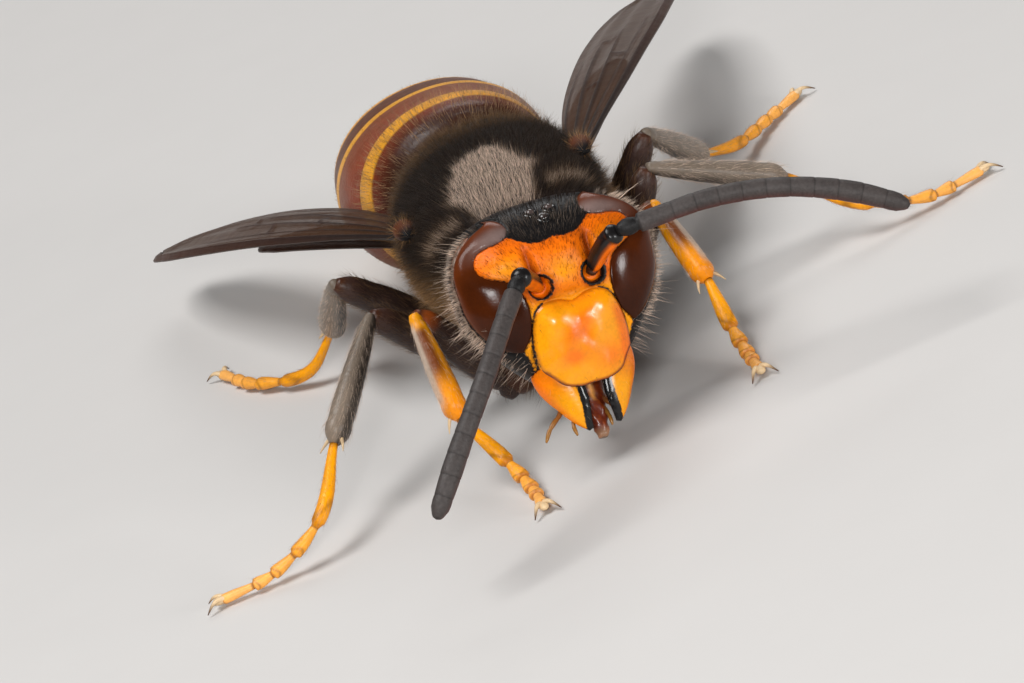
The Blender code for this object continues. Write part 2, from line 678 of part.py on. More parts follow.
def thorax_body(stations, sides):
    """Thorax with its back plates."""
    width = through(THORAX_STATIONS, THORAX_HALF_WIDTH, stations)
    top = through(THORAX_STATIONS, THORAX_TOP, stations)
    bottom = through(THORAX_STATIONS, THORAX_BOTTOM, stations)
    rings = []
    for y, w, t, b in zip(stations, width, top, bottom):
        ring = oval_ring(w, t, b, sides, THORAX_ROUNDNESS)
        upward = smoothstep(0.1, 0.8, ring[:, 2] / t)
        rise = SCUTELLUM_RISE * np.exp(-((y - 1.85) / 0.3) ** 2)
        for place, depth, half_width in THORAX_GROOVES:
            rise = rise - depth * np.exp(-((y - place) / half_width) ** 2)
        rings.append(ring * (1.0 + rise * upward / t)[:, None] + [0.0, y, 0.0])
    points, faces = ring_body(rings)
    return from_thorax(points), faces


def gaster_ring(y, step, sides):
    """Section of the gaster at a station."""
    width = through(GASTER_STATIONS, GASTER_HALF_WIDTH, y) + step
    height = through(GASTER_STATIONS, GASTER_HALF_HEIGHT, y) + step
    middle = through(GASTER_STATIONS, GASTER_CENTRE_Z, y)
    aside = GASTER_BEND[0] * smoothstep(GASTER_STATIONS[0], GASTER_BEND[1], y)
    return oval_ring(width, height, height, sides, 2.1) + [aside, y, middle]


def gaster_segment(number, rings, sides):
    """One ring of the gaster; its hind edge stands a little over the next."""
    start = GASTER_EDGES[number] + (GAP / 2 if number else 0.0)
    end = GASTER_EDGES[number + 1] - (GAP / 2 if number < 5 else 0.0)
    at = np.linspace(0.0, 1.0, rings)
    steps = GASTER_STEP * (smoothstep(0.3, 0.95, at) - 0.5) if number < 5 else -GASTER_STEP / 2 + at * 0.0
    return ring_body([gaster_ring(start + (end - start) * a, s, sides) for a, s in zip(at, steps)])


def make_trunk(head):
    """Thorax, neck, waist and the six segments of the gaster."""
    stations = [-3.72, -3.5, -3.2, -2.85, -2.5, -2.15, -1.8, -1.3, -0.7, 0.0, 0.6, 1.1, 1.42, 1.65,
                1.95, 2.25, 2.5, 2.85, 3.2, 3.5, 3.75]
    thorax = thorax_body(np.array(stations), 26)
    segments = [gaster_segment(i, 7 if i in (0, 1, 5) else 5, 26) for i in range(6)]
    neck_ends = [from_thorax([(0.0, -3.4, 0.2)])[0], from_head([(0.0, 0.45, -0.1)])[0]]
    at = np.linspace(0.0, 1.0, 4)
    path = neck_ends[0] + (neck_ends[1] - neck_ends[0]) * at[:, None]
    neck = cut_clear(limb(path, at * 0 + 0.62, at * 0 + 0.55, 12, (0.0, 0.0, 1.0)), [head, thorax])
    waist_ends = [from_thorax([(0.0, 3.4, -0.15)])[0],
                  np.array([0.0, 4.9, GASTER_CENTRE_Z[0] - 0.1])]
    path = waist_ends[0] + (waist_ends[1] - waist_ends[0]) * at[:, None]
    waist = cut_clear(limb(path, at * 0 + 0.45, at * 0 + 0.42, 12, (0.0, 0.0, 1.0)), [thorax, segments[0]])
    make_node("thorax", thorax, "dark_shell")
    make_node("neck", neck, "dark_shell")
    make_node("waist", waist, "brown_shell")
    finishes = ("brown_shell", "brown_shell", "brown_shell", "ochre_shell", "ochre_shell", "ochre_shell")
    for i, (segment, finish) in enumerate(zip(segments, finishes)):
        make_node(f"gaster_{i + 1}", segment, finish)
    return thorax


# Wings


def wing_strip(side, length, half_width, veins, drop, steps):
    """Folded wing as a long strip; its veins are ridges raised in its own surface."""
    sign = SIGN[side]
    splay = np.radians(WING_SPLAY[side])
    tilt = np.radians(WING_TILT)
    inward = HINDWING_INWARD if drop else 0.0
    root = (np.array(WING_ROOT) - [inward, 0.0, drop]) * [sign, 1.0, 1.0]
    at = np.linspace(0.0, 1.0, steps) ** 0.9
    ahead = np.array([sign * np.sin(splay), np.cos(splay), 0.0])
    outward = np.array([sign * np.cos(splay), -np.sin(splay), 0.0])
    across = outward * np.cos(tilt) - np.array([0.0, 0.0, np.sin(tilt)])
    normal = outward * np.sin(tilt) + np.array([0.0, 0.0, np.cos(tilt)])
    lanes = [-1.0]
    for vein in veins:
        lanes += [vein - VEIN_HALF_WIDTH, vein, vein + VEIN_HALF_WIDTH]
    lanes.append(1.0)
    lanes = np.array(lanes)
    rise = np.zeros(len(lanes))
    rise[2:-1:3] = VEIN_RISE
    rings = []
    for a in at:
        wide = profile(half_width, a)
        middle = root + ahead * length * a - np.array([0.0, 0.0, WING_DROOP[side] * (length / FOREWING_LENGTH)
                                                       ** 1.4 * a**1.4])
        thick = WING_THICKNESS / 2 * (1.0 - 0.6 * smoothstep(0.9, 1.0, a))
        arch = 0.10 * wide * (1.0 - lanes**2)
        edge = 1.0 - 0.55 * np.abs(lanes) ** 6
        over = [middle - across * wide * x + normal * (thick * e + r * edge_fade(a) + h)
                for x, e, r, h in zip(lanes, edge, rise, arch)]
        under = [middle - across * wide * x + normal * (h - thick * e) for x, e, h in zip(lanes, edge, arch)]
        rings.append(over + under[::-1])
    return ring_body(rings)


def edge_fade(a):
    """Lets the veins run out before the wing's tip."""
    return 1.0 - smoothstep(0.88, 0.98, a)


def make_wings(thorax):
    """Forewing and hindwing of each side, with the small scale over their root."""
    for side in SIDES:
        sign = SIGN[side]
        ball, faces = cube_ball(3)
        middle = np.array(TEGULA_CENTRE) * [sign, 1.0, 1.0]
        tegula = (middle + ball * TEGULA_HALF_SIZES, faces)
        fore = wing_strip(side, FOREWING_LENGTH, FOREWING_HALF_WIDTH, FOREWING_VEINS, 0.0, 14)
        fore = cut_clear(fore, [thorax, tegula])
        hind = wing_strip(side, HINDWING_LENGTH, HINDWING_HALF_WIDTH, HINDWING_VEINS, HINDWING_DROP, 10)
        hind = cut_clear(hind, [thorax])
        make_node(f"tegula_{side}", cut_clear(tegula, [thorax]), "brown_shell")
        make_node(f"forewing_{side}", fore, "wing_film")
        make_node(f"hindwing_{side}", hind, "wing_film")


# Legs


def tarsus_body(path, sides):
    """Five-jointed foot, each joint widening to its end, with a flat sole at floor level."""
    at = []
    width = []
    for k in range(5):
        start, end = TARSUS_JOINTS[k], TARSUS_JOINTS[k + 1]
        span = end - start
        at += [start + 0.04 * span, start + 0.45 * span, start + 0.88 * span]
        width += [TARSUS_WAIST, TARSUS_HALF_WIDTH[k] * 0.9, TARSUS_HALF_WIDTH[k]]
    at.append(1.0)
    width.append(0.12)
    at = np.array(at)
    width = np.array(width)
    points, faces = limb(along(path, at), width, width * 0.9, sides, (0.0, 0.0, 1.0))
    return points, faces


def claws(path):
    """Pair of hooked claws at the end of a foot."""
    tip = along(path, np.array([0.97]))[0]
    ahead = tip - along(path, np.array([0.85]))[0]
    ahead[2] = 0.0
    ahead /= np.linalg.norm(ahead)
    across = np.array([-ahead[1], ahead[0], 0.0])
    hooks = []
    for sign in (-1.0, 1.0):
        at = np.linspace(0.0, 1.0, 4)
        reach = CLAW_LENGTH * at
        line = (tip + ahead[None] * reach[:, None] + across[None] * (sign * (0.06 + 0.30 * at**1.3))[:, None])
        line[:, 2] = 0.19 + 0.10 * np.sin(np.pi * at) - 0.08 * at
        radius = CLAW_RADIUS * (1.0 - 0.72 * at)
        hooks.append(limb(line, radius, radius, 5, (0.0, 0.0, 1.0)))
    return hooks


def floor_flat(body):
    """Presses whatever would reach below the floor into a flat sole."""
    points, faces = body
    points = points.copy()
    points[:, 2] = np.maximum(points[:, 2], 0.0)
    return points, faces


def make_legs(thorax):
    """Coxa, femur, tibia and tarsus of each of the six legs."""
    for name, points in LEGS.items():
        root, hip, knee, ankle = (np.array(p) for p in points[:4])
        at = np.linspace(0.0, 1.0, 6)
        width = profile(COXA_HALF_WIDTH, at)
        path = root + (hip - root) * at[:, None]
        coxa = limb(path, width, width * 0.9, 10, (0.0, 1.0, 0.2))
        at = np.linspace(0.0, 1.0, 8)
        width = profile(FEMUR_HALF_WIDTH, at)
        path = hip + (knee - hip) * at[:, None]
        femur = limb(path, width, width * 0.85, LEG_SIDES, (0.0, 1.0, 0.2))
        width = profile(TIBIA_HALF_WIDTH, at)
        path = knee + (ankle - knee) * at[:, None]
        tibia = limb(path, width, width * 0.85, LEG_SIDES, (1.0, 0.2, 0.3))
        down = (ankle - knee) / np.linalg.norm(ankle - knee)
        hind = np.cross(down, [0.0, 0.0, 1.0])
        hind /= np.linalg.norm(hind)
        at = np.linspace(0.0, 1.0, 4)
        spurs = []
        for sign in (-1.0, 1.0):
            line = (ankle - down * 0.30 + hind * sign * 0.12
                    + (down * 0.88 + hind * sign * SPUR_SPREAD)[None] * (SPUR_LENGTH * at)[:, None])
            radius = SPUR_RADIUS * (1.0 - 0.75 * at)
            spurs.append(limb(line, radius, radius, 5, (0.2, 0.3, 1.0)))
        tarsus_path = [ankle, *points[4:]]
        tarsus = fused(tarsus_body(tarsus_path, LEG_SIDES), claws(tarsus_path))
        tarsus = floor_flat(cut_clear(tarsus, [tibia]))
        make_node(f"coxa_{name}", cut_clear(coxa, [thorax]), "dark_shell")
        make_node(f"femur_{name}", cut_clear(femur, [coxa]), "dark_shell")
        make_node(f"tibia_{name}", fused(cut_clear(tibia, [femur]), spurs), "brown_shell")
        make_node(f"tarsus_{name}", tarsus, "yellow_shell")


def main():
    """Clears the scene and builds the hornet."""
    for thing in list(bpy.data.objects):
        bpy.data.objects.remove(thing)
    head = make_head()
    make_feelers(head)
    thorax = make_trunk(head)
    make_wings(thorax)
    make_legs(thorax)


main()
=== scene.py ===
"""Asian hornet at life size: skin, shell plates, coat, finishes and a plain studio over the frame.

Places are worked out in millimetres in the pose of the model, which faces -Y with its left side
at +X, and are turned into metres when a mesh is made. The head has its own frame (x left,
y back, z up) and so has the thorax, both as in the solids.
"""

import json

import bmesh
import bpy
import numpy as np
from bpy.props import FloatProperty, FloatVectorProperty, IntProperty, PointerProperty
from mathutils import Matrix, Vector, kdtree

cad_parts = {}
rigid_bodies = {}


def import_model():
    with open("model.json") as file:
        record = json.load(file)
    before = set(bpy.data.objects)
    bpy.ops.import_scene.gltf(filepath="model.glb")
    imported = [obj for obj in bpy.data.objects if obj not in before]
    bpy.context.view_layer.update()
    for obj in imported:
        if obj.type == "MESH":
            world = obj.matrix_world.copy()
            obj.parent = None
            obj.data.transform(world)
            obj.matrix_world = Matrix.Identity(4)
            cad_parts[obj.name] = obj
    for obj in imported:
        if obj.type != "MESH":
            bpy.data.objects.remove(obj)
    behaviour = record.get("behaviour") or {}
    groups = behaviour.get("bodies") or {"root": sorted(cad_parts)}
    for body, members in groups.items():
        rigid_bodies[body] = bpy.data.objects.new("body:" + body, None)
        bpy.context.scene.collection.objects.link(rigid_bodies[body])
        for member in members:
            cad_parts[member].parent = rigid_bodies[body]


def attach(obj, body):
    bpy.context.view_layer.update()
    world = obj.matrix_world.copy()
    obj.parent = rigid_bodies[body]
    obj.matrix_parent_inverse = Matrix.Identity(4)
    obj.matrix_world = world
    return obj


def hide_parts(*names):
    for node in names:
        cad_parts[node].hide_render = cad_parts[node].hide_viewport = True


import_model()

bl_info = {
    "name": "Asian hornet",
    "version": (1, 0, 0),
    "blender": (4, 5, 0),
    "location": "View3D > Sidebar > Hornet",
    "description": "Builds the skin, coat and studio of a life-size hornet",
    "category": "Object",
}

MM = 0.001
SIDES = ("right", "left")
SIGN = {"right": -1.0, "left": 1.0}
PLAN_MIDDLE = np.array([0.48, 2.97, 0.0])

# Head
HEAD_CENTRE = (0.06, -5.31, 4.34)
HEAD_TURN = (10.5, -12.9, 12.2)
HEAD_MIDDLE = -0.15
HEAD_HALF_WIDTH = 2.56
HEAD_FRONT = 1.35
HEAD_BACK = 0.97
HEAD_TOP = 1.74
HEAD_CHIN = 2.80
HEAD_ROUNDNESS = 2.6
CHEEK_TAPER = 0.25
CROWN_LEAN = 0.22
SOCKET_PLACE = (0.68, -0.22)
SOCKET_RADIUS = 0.30
SOCKET_DEPTH = 0.22
OCELLI = ((0.0, 1.35), (-0.24, 1.53), (0.24, 1.53))
OCELLUS_RADIUS = 0.125
OCELLUS_RISE = 0.085
OCELLUS_RING = (0.19, 0.06)
HEAD_STEPS = 96

# Border between the black crown and the orange face, seen from the front
CROWN_BORDER = ((0.0, 0.87), (0.20, 0.83), (0.40, 0.82), (0.60, 0.86), (0.80, 0.96), (1.00, 1.09),
                (1.30, 1.13), (3.0, 1.13))

# Distance from the middle line at which the face's colour ends, by height; it runs under the eye
CHEEK_BORDER = ((-2.9, 1.10), (-2.5, 1.16), (-2.1, 1.24), (-1.8, 1.33), (-1.6, 1.43), (-1.3, 1.62),
                (-0.6, 1.80), (0.0, 2.05), (0.6, 2.18), (1.1, 2.05), (1.4, 1.9), (1.8, 1.9))

# Eye
EYE_INNER_RIM = ((1.36, 1.62), (1.04, 1.53), (0.97, 1.34), (1.09, 1.17), (1.34, 1.08), (1.62, 1.04),
                 (1.86, 0.95), (2.02, 0.76), (2.01, 0.50), (1.86, 0.33), (1.62, 0.21), (1.36, 0.08),
                 (1.14, -0.28), (1.08, -0.62), (1.11, -0.96), (1.20, -1.30), (1.42, -1.61))
EYE_OUTER_RIM = ((1.36, -0.76, 1.63), (1.82, -0.56, 1.51), (2.12, -0.55, 1.21), (2.36, -0.60, 0.68),
                 (2.46, -0.63, 0.10), (2.40, -0.65, -0.34), (2.23, -0.69, -0.80), (2.02, -0.76, -1.15),
                 (1.75, -0.90, -1.45), (1.42, -1.12, -1.63))
EYE_DEPTH = 0.40
EYE_STEPS = (44, 110)

# Clypeus, mandibles and mouthparts
CLYPEUS_CENTRE = (0.0, -1.66)
CLYPEUS_OUTLINE = ((0.0, -0.70), (0.40, -0.61), (0.72, -0.62), (0.92, -0.74), (1.10, -1.08), (1.18, -1.45),
                   (1.19, -1.90), (1.14, -2.18), (0.97, -2.40), (0.76, -2.64), (0.42, -2.77), (0.0, -2.78))
CLYPEUS_EDGE_FRONT = ((-2.8, 1.50), (-2.2, 1.30), (-1.6, 1.32), (-1.0, 1.42), (-0.6, 1.50))
CLYPEUS_BULGE = 0.40
CLYPEUS_ROOT = 0.75
OUTLINE_POINTS = 240
MANDIBLE_PATH = ((0.86, -0.70, -2.00), (0.77, -0.93, -2.50), (0.61, -1.08, -3.00), (0.53, -1.14, -3.32),
                 (0.45, -1.19, -3.60), (0.35, -1.24, -3.86))
MANDIBLE_HALF_WIDTH = (0.50, 0.57, 0.54, 0.44, 0.28, 0.07)
MANDIBLE_HALF_DEPTH = (0.32, 0.28, 0.22, 0.18, 0.14, 0.06)
MANDIBLE_FACING = (0.45, -0.89, 0.0)
MANDIBLE_STEPS = (44, 36)
MOUTH_PATH = ((0.0, -0.55, -2.30), (0.0, -0.62, -3.0), (-0.02, -0.80, -3.60), (-0.06, -1.05, -4.14))
MOUTH_HALF_WIDTH = (0.42, 0.38, 0.30, 0.12)
MOUTH_HALF_DEPTH = (0.26, 0.26, 0.23, 0.11)

# Feelers
SCAPE_HALF_WIDTH = ((0.0, 0.14), (0.07, 0.155), (0.14, 0.185), (0.5, 0.225), (0.85, 0.245), (0.96, 0.22),
                    (1.0, 0.12))
FLAGELLUM_PATH = {
    "right": ((-0.84, -8.35, 5.58), (-1.68, -9.28, 5.10), (-2.59, -10.10, 4.44), (-4.02, -11.10, 3.36),
              (-5.22, -11.80, 2.32)),
    "left": ((1.80, -7.46, 5.26), (2.75, -7.50, 5.17), (4.01, -7.62, 5.06), (6.03, -7.98, 4.50),
             (7.24, -8.32, 3.86), (8.35, -8.72, 3.04)),
}
FLAGELLUM_RINGS = 11
FEELER_SIDES = 24
FLAGELLUM_HALF_WIDTH = ((0.0, 0.18), (0.04, 0.22), (0.2, 0.235), (0.6, 0.245), (0.9, 0.24), (0.97, 0.20),
                        (1.0, 0.09))

# Thorax
THORAX_CENTRE = (-0.04, 0.0, 4.41)
THORAX_PITCH = 3.4
THORAX_STATIONS = (-3.72, -3.55, -3.2, -2.65, -1.9, -0.9, 0.2, 1.2, 1.9, 2.5, 3.05, 3.5, 3.75)
THORAX_HALF_WIDTH = (0.70, 1.15, 1.72, 2.14, 2.42, 2.52, 2.50, 2.38, 2.20, 1.92, 1.50, 0.98, 0.60)
THORAX_TOP = (0.75, 1.10, 1.52, 1.80, 1.98, 2.02, 1.98, 1.86, 1.68, 1.34, 0.92, 0.48, 0.22)
THORAX_BOTTOM = (0.50, 0.95, 1.55, 2.05, 2.38, 2.48, 2.50, 2.42, 2.25, 1.90, 1.45, 0.92, 0.55)
THORAX_ROUNDNESS = 2.25
THORAX_ROWS, THORAX_SIDES = 150, 144

# Half width of the pale combed patch on the thorax, by its place along the body; the patch's pale hair colour
# is painted sheen of the silky brown pile
PATCH_EDGE = ((-3.75, 0.70), (-3.2, 0.78), (-2.7, 0.98), (-2.35, 1.16), (-2.1, 1.02), (-1.4, 0.72),
              (-0.75, 0.28), (-0.6, -0.1), (3.75, -0.1))

# Gaster
GASTER_BEND = (-0.22, 8.5)
GASTER_STATIONS = (4.5, 4.72, 5.15, 5.8, 6.7, 7.8, 9.0, 10.5, 12.0, 13.5, 15.0, 16.1, 16.85)
GASTER_CENTRE_Z = (3.92, 3.86, 3.72, 3.52, 3.28, 3.00, 2.78, 2.61, 2.45, 2.26, 2.07, 1.93, 1.84)
GASTER_HALF_WIDTH = (0.85, 1.55, 2.10, 2.42, 2.58, 2.78, 2.86, 2.80, 2.56, 2.12, 1.50, 0.88, 0.26)
GASTER_HALF_HEIGHT = (0.80, 1.45, 1.95, 2.22, 2.34, 2.38, 2.36, 2.26, 2.04, 1.68, 1.20, 0.70, 0.22)
GASTER_EDGES = (4.5, 6.75, 9.7, 12.0, 13.8, 15.3, 16.85)
GASTER_LAP = 0.30
GASTER_PLATES = 6
GASTER_ROWS, GASTER_SIDES = 46, 120
GASTER_ROUNDNESS = 2.1

# Wings
WING_ROOT = (2.36, -0.55, 5.12)
WING_SPLAY = {"right": 15.5, "left": 16.0}
WING_DROOP = {"right": 3.7, "left": 3.1}
FOREWING_LENGTH = 19.0
HINDWING_LENGTH = 12.8
HINDWING_DROP = 0.62
HINDWING_INWARD = 0.60
WING_TILT = -3.0
WING_ROWS, WING_LANES = 110, 57
FOREWING_HALF_WIDTH = ((0.0, 0.28), (0.06, 0.48), (0.2, 0.79), (0.45, 1.09), (0.7, 1.17), (0.86, 1.01),
                       (0.95, 0.68), (1.0, 0.14))
HINDWING_HALF_WIDTH = ((0.0, 0.20), (0.1, 0.37), (0.35, 0.59), (0.65, 0.67), (0.85, 0.59), (0.96, 0.36),
                       (1.0, 0.10))
FOREWING_VEINS = (-0.86, -0.52, -0.10, 0.34, 0.78)
HINDWING_VEINS = (-0.80, -0.20, 0.40)
TEGULA_CENTRE = (2.40, -1.05, 5.42)
TEGULA_HALF_SIZES = (0.30, 0.60, 0.22)

# Legs: coxa root and end, knee, ankle, then the tarsus path down to the toes
LEGS = {
    "front_right": ((-1.00, -2.75, 2.20), (-1.74, -3.20, 1.08), (-3.23, -3.66, 4.25), (-3.37, -5.36, 1.92),
                    (-2.86, -6.25, 0.86), (-2.62, -7.35, 0.30), (-2.60, -8.50, 0.17)),
    "front_left": ((0.80, -2.75, 2.40), (1.30, -2.95, 1.40), (3.42, -1.40, 3.35), (3.71, -3.46, 1.64),
                   (3.64, -4.70, 0.72), (3.65, -5.75, 0.28), (3.66, -6.70, 0.17)),
    "middle_right": ((-1.36, -0.10, 2.05), (-2.06, -0.13, 0.95), (-4.06, -1.35, 3.91), (-6.32, -3.48, 2.08),
                     (-7.60, -5.05, 0.98), (-9.02, -5.02, 0.32), (-10.50, -4.74, 0.17)),
    "middle_left": ((1.30, -0.10, 2.05), (1.98, -0.09, 0.95), (3.74, -0.50, 3.93), (6.87, -0.18, 2.00),
                    (8.25, -1.35, 0.88), (9.80, -1.42, 0.32), (11.40, -1.00, 0.17)),
    "hind_right": ((-1.25, 1.95, 2.10), (-2.03, 2.70, 0.98), (-4.36, 2.00, 3.89), (-4.75, 6.10, 1.40),
                   (-5.56, 6.50, 0.56), (-6.92, 8.02, 0.25), (-7.68, 10.25, 0.17)),
    "hind_left": ((1.20, 1.95, 2.10), (2.05, 2.70, 0.98), (4.30, 2.00, 3.89), (5.81, 6.02, 1.30),
                  (6.95, 7.60, 0.60), (8.12, 9.30, 0.25), (9.22, 10.35, 0.17)),
}
COXA_HALF_WIDTH = ((0.0, 0.80), (0.35, 0.77), (0.7, 0.58), (0.92, 0.38), (1.0, 0.20))
FEMUR_HALF_WIDTH = ((0.0, 0.20), (0.05, 0.26), (0.14, 0.25), (0.22, 0.32), (0.45, 0.42), (0.75, 0.38),
                    (0.93, 0.30), (1.0, 0.16))
TIBIA_HALF_WIDTH = ((0.0, 0.15), (0.06, 0.22), (0.15, 0.25), (0.5, 0.34), (0.8, 0.36), (0.95, 0.30),
                    (1.0, 0.14))
TARSUS_JOINTS = (0.0, 0.44, 0.60, 0.73, 0.83, 1.0)
TARSUS_HALF_WIDTH = (0.22, 0.22, 0.22, 0.22, 0.20)
TARSUS_START = 0.115
SPUR_RADIUS = 0.055
CLAW_LENGTH = 0.52
LEG_SIDES = 26

# Coat: hairs for each square millimetre where the skin's value is 1, and radii at the root in metres
HEAD_COATS, THORAX_COATS = 2, 4
PLAIN_HAIR = {"Where": "fuzz", "Bend": -0.25, "Spread": 0.35, "Segments": 2}
HEAD_HAIR = {"Density": 330.0, "Spread": 0.22, "Bend": -0.15, "Thickness": 0.000032}
CLYPEUS_HAIR = {"Density": 60.0, "Spread": 0.3, "Thickness": 0.000030}
JAW_HAIR = {"Density": 90.0}
SCALE_HAIR = {"Density": 120.0}
CHEEK_HAIR = {"Where": "stray", "Density": 26.0, "Spread": 0.20, "Bend": -0.12, "Segments": 3,
              "Thickness": 0.000026}
BACK_HAIR = {"Where": "stray", "Density": 10.0, "Spread": 0.35, "Bend": -0.1, "Segments": 3,
             "Thickness": 0.000022}
THORAX_HAIR = {"Density": 265.0}
THORAX_SPREAD = (0.14, 0.08)
GASTER_HAIR = {"Density": 75.0, "Spread": 0.25, "Bend": -0.3}
LEG_HAIR = {"Density": 170.0, "Spread": 0.22, "Bend": -0.3}
CHEEK_LENGTH, BACK_LENGTH = 3.0, 1.35
HAIR_SIZE_RANGE = (0.55, 1.1)
PATCH_COMB = (0.10, 0.85, 0.20)
PER_SQUARE_METRE = 1e6
SHADE_SEED, LEAN_SEED, SIZE_SEED = 11, 23, 37
SHADE_RANGE = (0.5, 1.5)

# Finishes: texture scales in cells for each metre, and the depth of the bump in metres
CLOUD_SCALE, SPECK_SCALE, NAP_SCALE, WAVE_SCALE = 1800.0, 14000.0, 16000.0, 3000.0
FLOOR_SCALE = 400.0
GRAIN_GAIN = 2.4
WEAR_SPAN = 0.18
BUMP_DISTANCE = 0.00002

# Each hair's patch on the bake map, and the furthest place of its corner
BAKE_PATCH = 0.003
BAKE_LIMIT = 0.997

# Studio: name, place, side and power of each panel, in metres and watts
PANELS = (("key_panel", (-0.028, -0.139, 0.058), 0.030, 0.100),
          ("side_panel", (0.084, -0.117, 0.022), 0.026, 0.070),
          ("top_panel", (-0.070, -0.010, 0.190), 0.120, 0.34),
          ("rim_panel", (0.060, 0.130, 0.120), 0.100, 0.08))
PANEL_TARGET = (0.0, -0.005, 0.003)
PANEL_HEIGHT_SHARE = 0.8
FLOOR_HALF = 1.5
AIR_COLOUR = (0.80, 0.83, 0.88, 1.0)
AIR_STRENGTH = 0.10

# Camera fitted to the photograph, in the uncentred frame
CAMERA_AZIMUTH = -3.87
CAMERA_ELEVATION = 19.98
CAMERA_ROLL = 24.67
CAMERA_TARGET = (-1.41, -5.0, 3.0)
CAMERA_DISTANCE = 180.0
CAMERA_LENS = 260.97
SENSOR_WIDTH = 36.0


class HornetSizes(bpy.types.PropertyGroup):
    """Sizes that a user may change."""

    coat_length: FloatProperty(name="Coat length", description="Length of the longest thorax hairs",
                               default=0.00095, min=0.0002, max=0.002, unit="LENGTH", precision=5)
    coat_density: FloatProperty(name="Coat density", description="Share of the usual number of hairs",
                                default=1.0, min=0.1, max=1.5)
    hair_thickness: FloatProperty(name="Hair thickness", description="Radius of a hair at its root",
                                  default=0.0000095, min=0.000004, max=0.00003, unit="LENGTH", precision=7)
    skin_inset: FloatProperty(name="Skin inset", description="How far the thorax skin lies in its node",
                              default=0.00003, min=0.0, max=0.0003, unit="LENGTH", precision=5)
    film_thickness: FloatProperty(name="Wing film", description="Thickness of the wing film",
                                  default=0.00004, min=0.00002, max=0.0002, unit="LENGTH", precision=6)
    eye_bulge: FloatProperty(name="Eye bulge", description="How far the eye stands over the head",
                             default=0.00014, min=0.0, max=0.0002, unit="LENGTH", precision=5)
    coat_seed: IntProperty(name="Coat seed", description="Start of the coat's random order", default=7)


def paint(label, what, value):
    """A colour that a user may change."""
    return FloatVectorProperty(name=label, description=what, default=value, subtype="COLOR", size=3,
                               min=0.0, max=1.0)


class HornetColours(bpy.types.PropertyGroup):
    """Colours that a user may change."""

    orange: paint("Orange", "Orange of the face", (0.84, 0.150, 0.001))
    yellow: paint("Yellow", "Yellow of clypeus, jaws and feet", (0.90, 0.34, 0.002))
    # The red is the own red of lip, joints and borders, and also the painted shade in the face's hollows
    red: paint("Red", "Red of hollows and joints", (0.22, 0.016, 0.003))
    black: paint("Black", "Black of the shell", (0.007, 0.006, 0.006))
    brown: paint("Brown", "Brown of the gaster", (0.060, 0.018, 0.007))
    amber: paint("Amber", "Bands of the gaster", (0.80, 0.36, 0.022))
    eye: paint("Eye", "Red brown of the eyes", (0.060, 0.012, 0.002))
    # This mauve paints the sheen on the eyes' upper lobes and tints the lenses of the simple eyes
    mauve_and_sheen: paint("Eye bloom", "Mauve of the eyes' upper lobes", (0.200, 0.138, 0.124))
    feeler: paint("Feeler", "Charcoal of the feelers", (0.052, 0.043, 0.040))
    film: paint("Wing film", "Smoky brown of the wings", (0.070, 0.028, 0.010))
    claw: paint("Claw", "Pale horn of the claws", (0.72, 0.52, 0.30))
    pale_hair: paint("Pale hair", "Grey-beige hairs", (0.72, 0.55, 0.43))
    brown_hair: paint("Brown hair", "Golden brown hairs", (0.36, 0.20, 0.085))
    dark_hair: paint("Dark hair", "Blackish hairs", (0.018, 0.011, 0.008))
    floor: paint("Floor", "Pale floor", (0.62, 0.60, 0.58))


def sizes():
    """The sizes now set; the lengths are in metres."""
    return bpy.context.scene.hornet_sizes


def colour(name):
    """One of the colours now set."""
    return np.array(getattr(bpy.context.scene.hornet_colours, name))


# Curves and frames


def smoothstep(low, high, value):
    """Rises from 0 to 1 between two values, flat at both ends."""
    t = np.clip((np.asarray(value, float) - low) / (high - low), 0.0, 1.0)
    return t * t * (3.0 - 2.0 * t)


def falling(low, high, value):
    """Falls from 1 to 0 between two values, flat at both ends."""
    return 1.0 - smoothstep(low, high, value)


def hump(value, centre, width):
    """Bell-shaped rise of height 1 round a centre."""
    return np.exp(-(((value - centre) / width) ** 2))


def through(places, values, at):
    """Smooth curve through values given at rising places; values may be numbers or points."""
    places = np.asarray(places, float)
    values = np.asarray(values, float)
    at = np.clip(np.asarray(at, float), places[0], places[-1])
    slopes = np.gradient(values, places, axis=0)
    k = np.clip(np.searchsorted(places, at, side="right") - 1, 0, len(places) - 2)
    h = places[k + 1] - places[k]
    t = (at - places[k]) / h
    if values.ndim > 1:
        t = t[:, None]
        h = h[:, None]
    return ((2 * t**3 - 3 * t**2 + 1) * values[k] + (t**3 - 2 * t**2 + t) * h * slopes[k]
            + (3 * t**2 - 2 * t**3) * values[k + 1] + (t**3 - t**2) * h * slopes[k + 1])


def profile(keys, at):
    """Reads a profile given as pairs of place and size."""
    places, values = zip(*keys)
    return through(places, values, at)


def along(points, at):
    """Points of a smooth path, at fractions of its length."""
    points = np.asarray(points, float)
    steps = np.linalg.norm(np.diff(points, axis=0), axis=1)
    places = np.concatenate([[0.0], np.cumsum(steps)])
    return through(places / places[-1], points, at)


def turn(axis, degrees):
    """Rotation matrix about one axis."""
    return np.array(Matrix.Rotation(np.radians(degrees), 3, axis))


HEAD_MATRIX = turn("Z", HEAD_TURN[0]) @ turn("X", HEAD_TURN[1]) @ turn("Y", HEAD_TURN[2])
THORAX_MATRIX = turn("X", THORAX_PITCH)


def from_head(points):
    """Points of the head's frame, in the model's frame."""
    return np.asarray(points, float) @ HEAD_MATRIX.T + np.array(HEAD_CENTRE)


def from_thorax(points):
    """Points of the thorax's frame, in the model's frame."""
    return np.asarray(points, float) @ THORAX_MATRIX.T + np.array(THORAX_CENTRE)


def unit_rows(vectors):
    """Rows scaled to length 1."""
    return vectors / np.maximum(np.linalg.norm(vectors, axis=1), 1e-9)[:, None]


def mixed(first, second, share):
    """Rows between two colours or two sets of rows."""
    share = np.asarray(share, float)[:, None]
    return first * (1.0 - share) + second * share


# Shapes: points, faces and values at each point


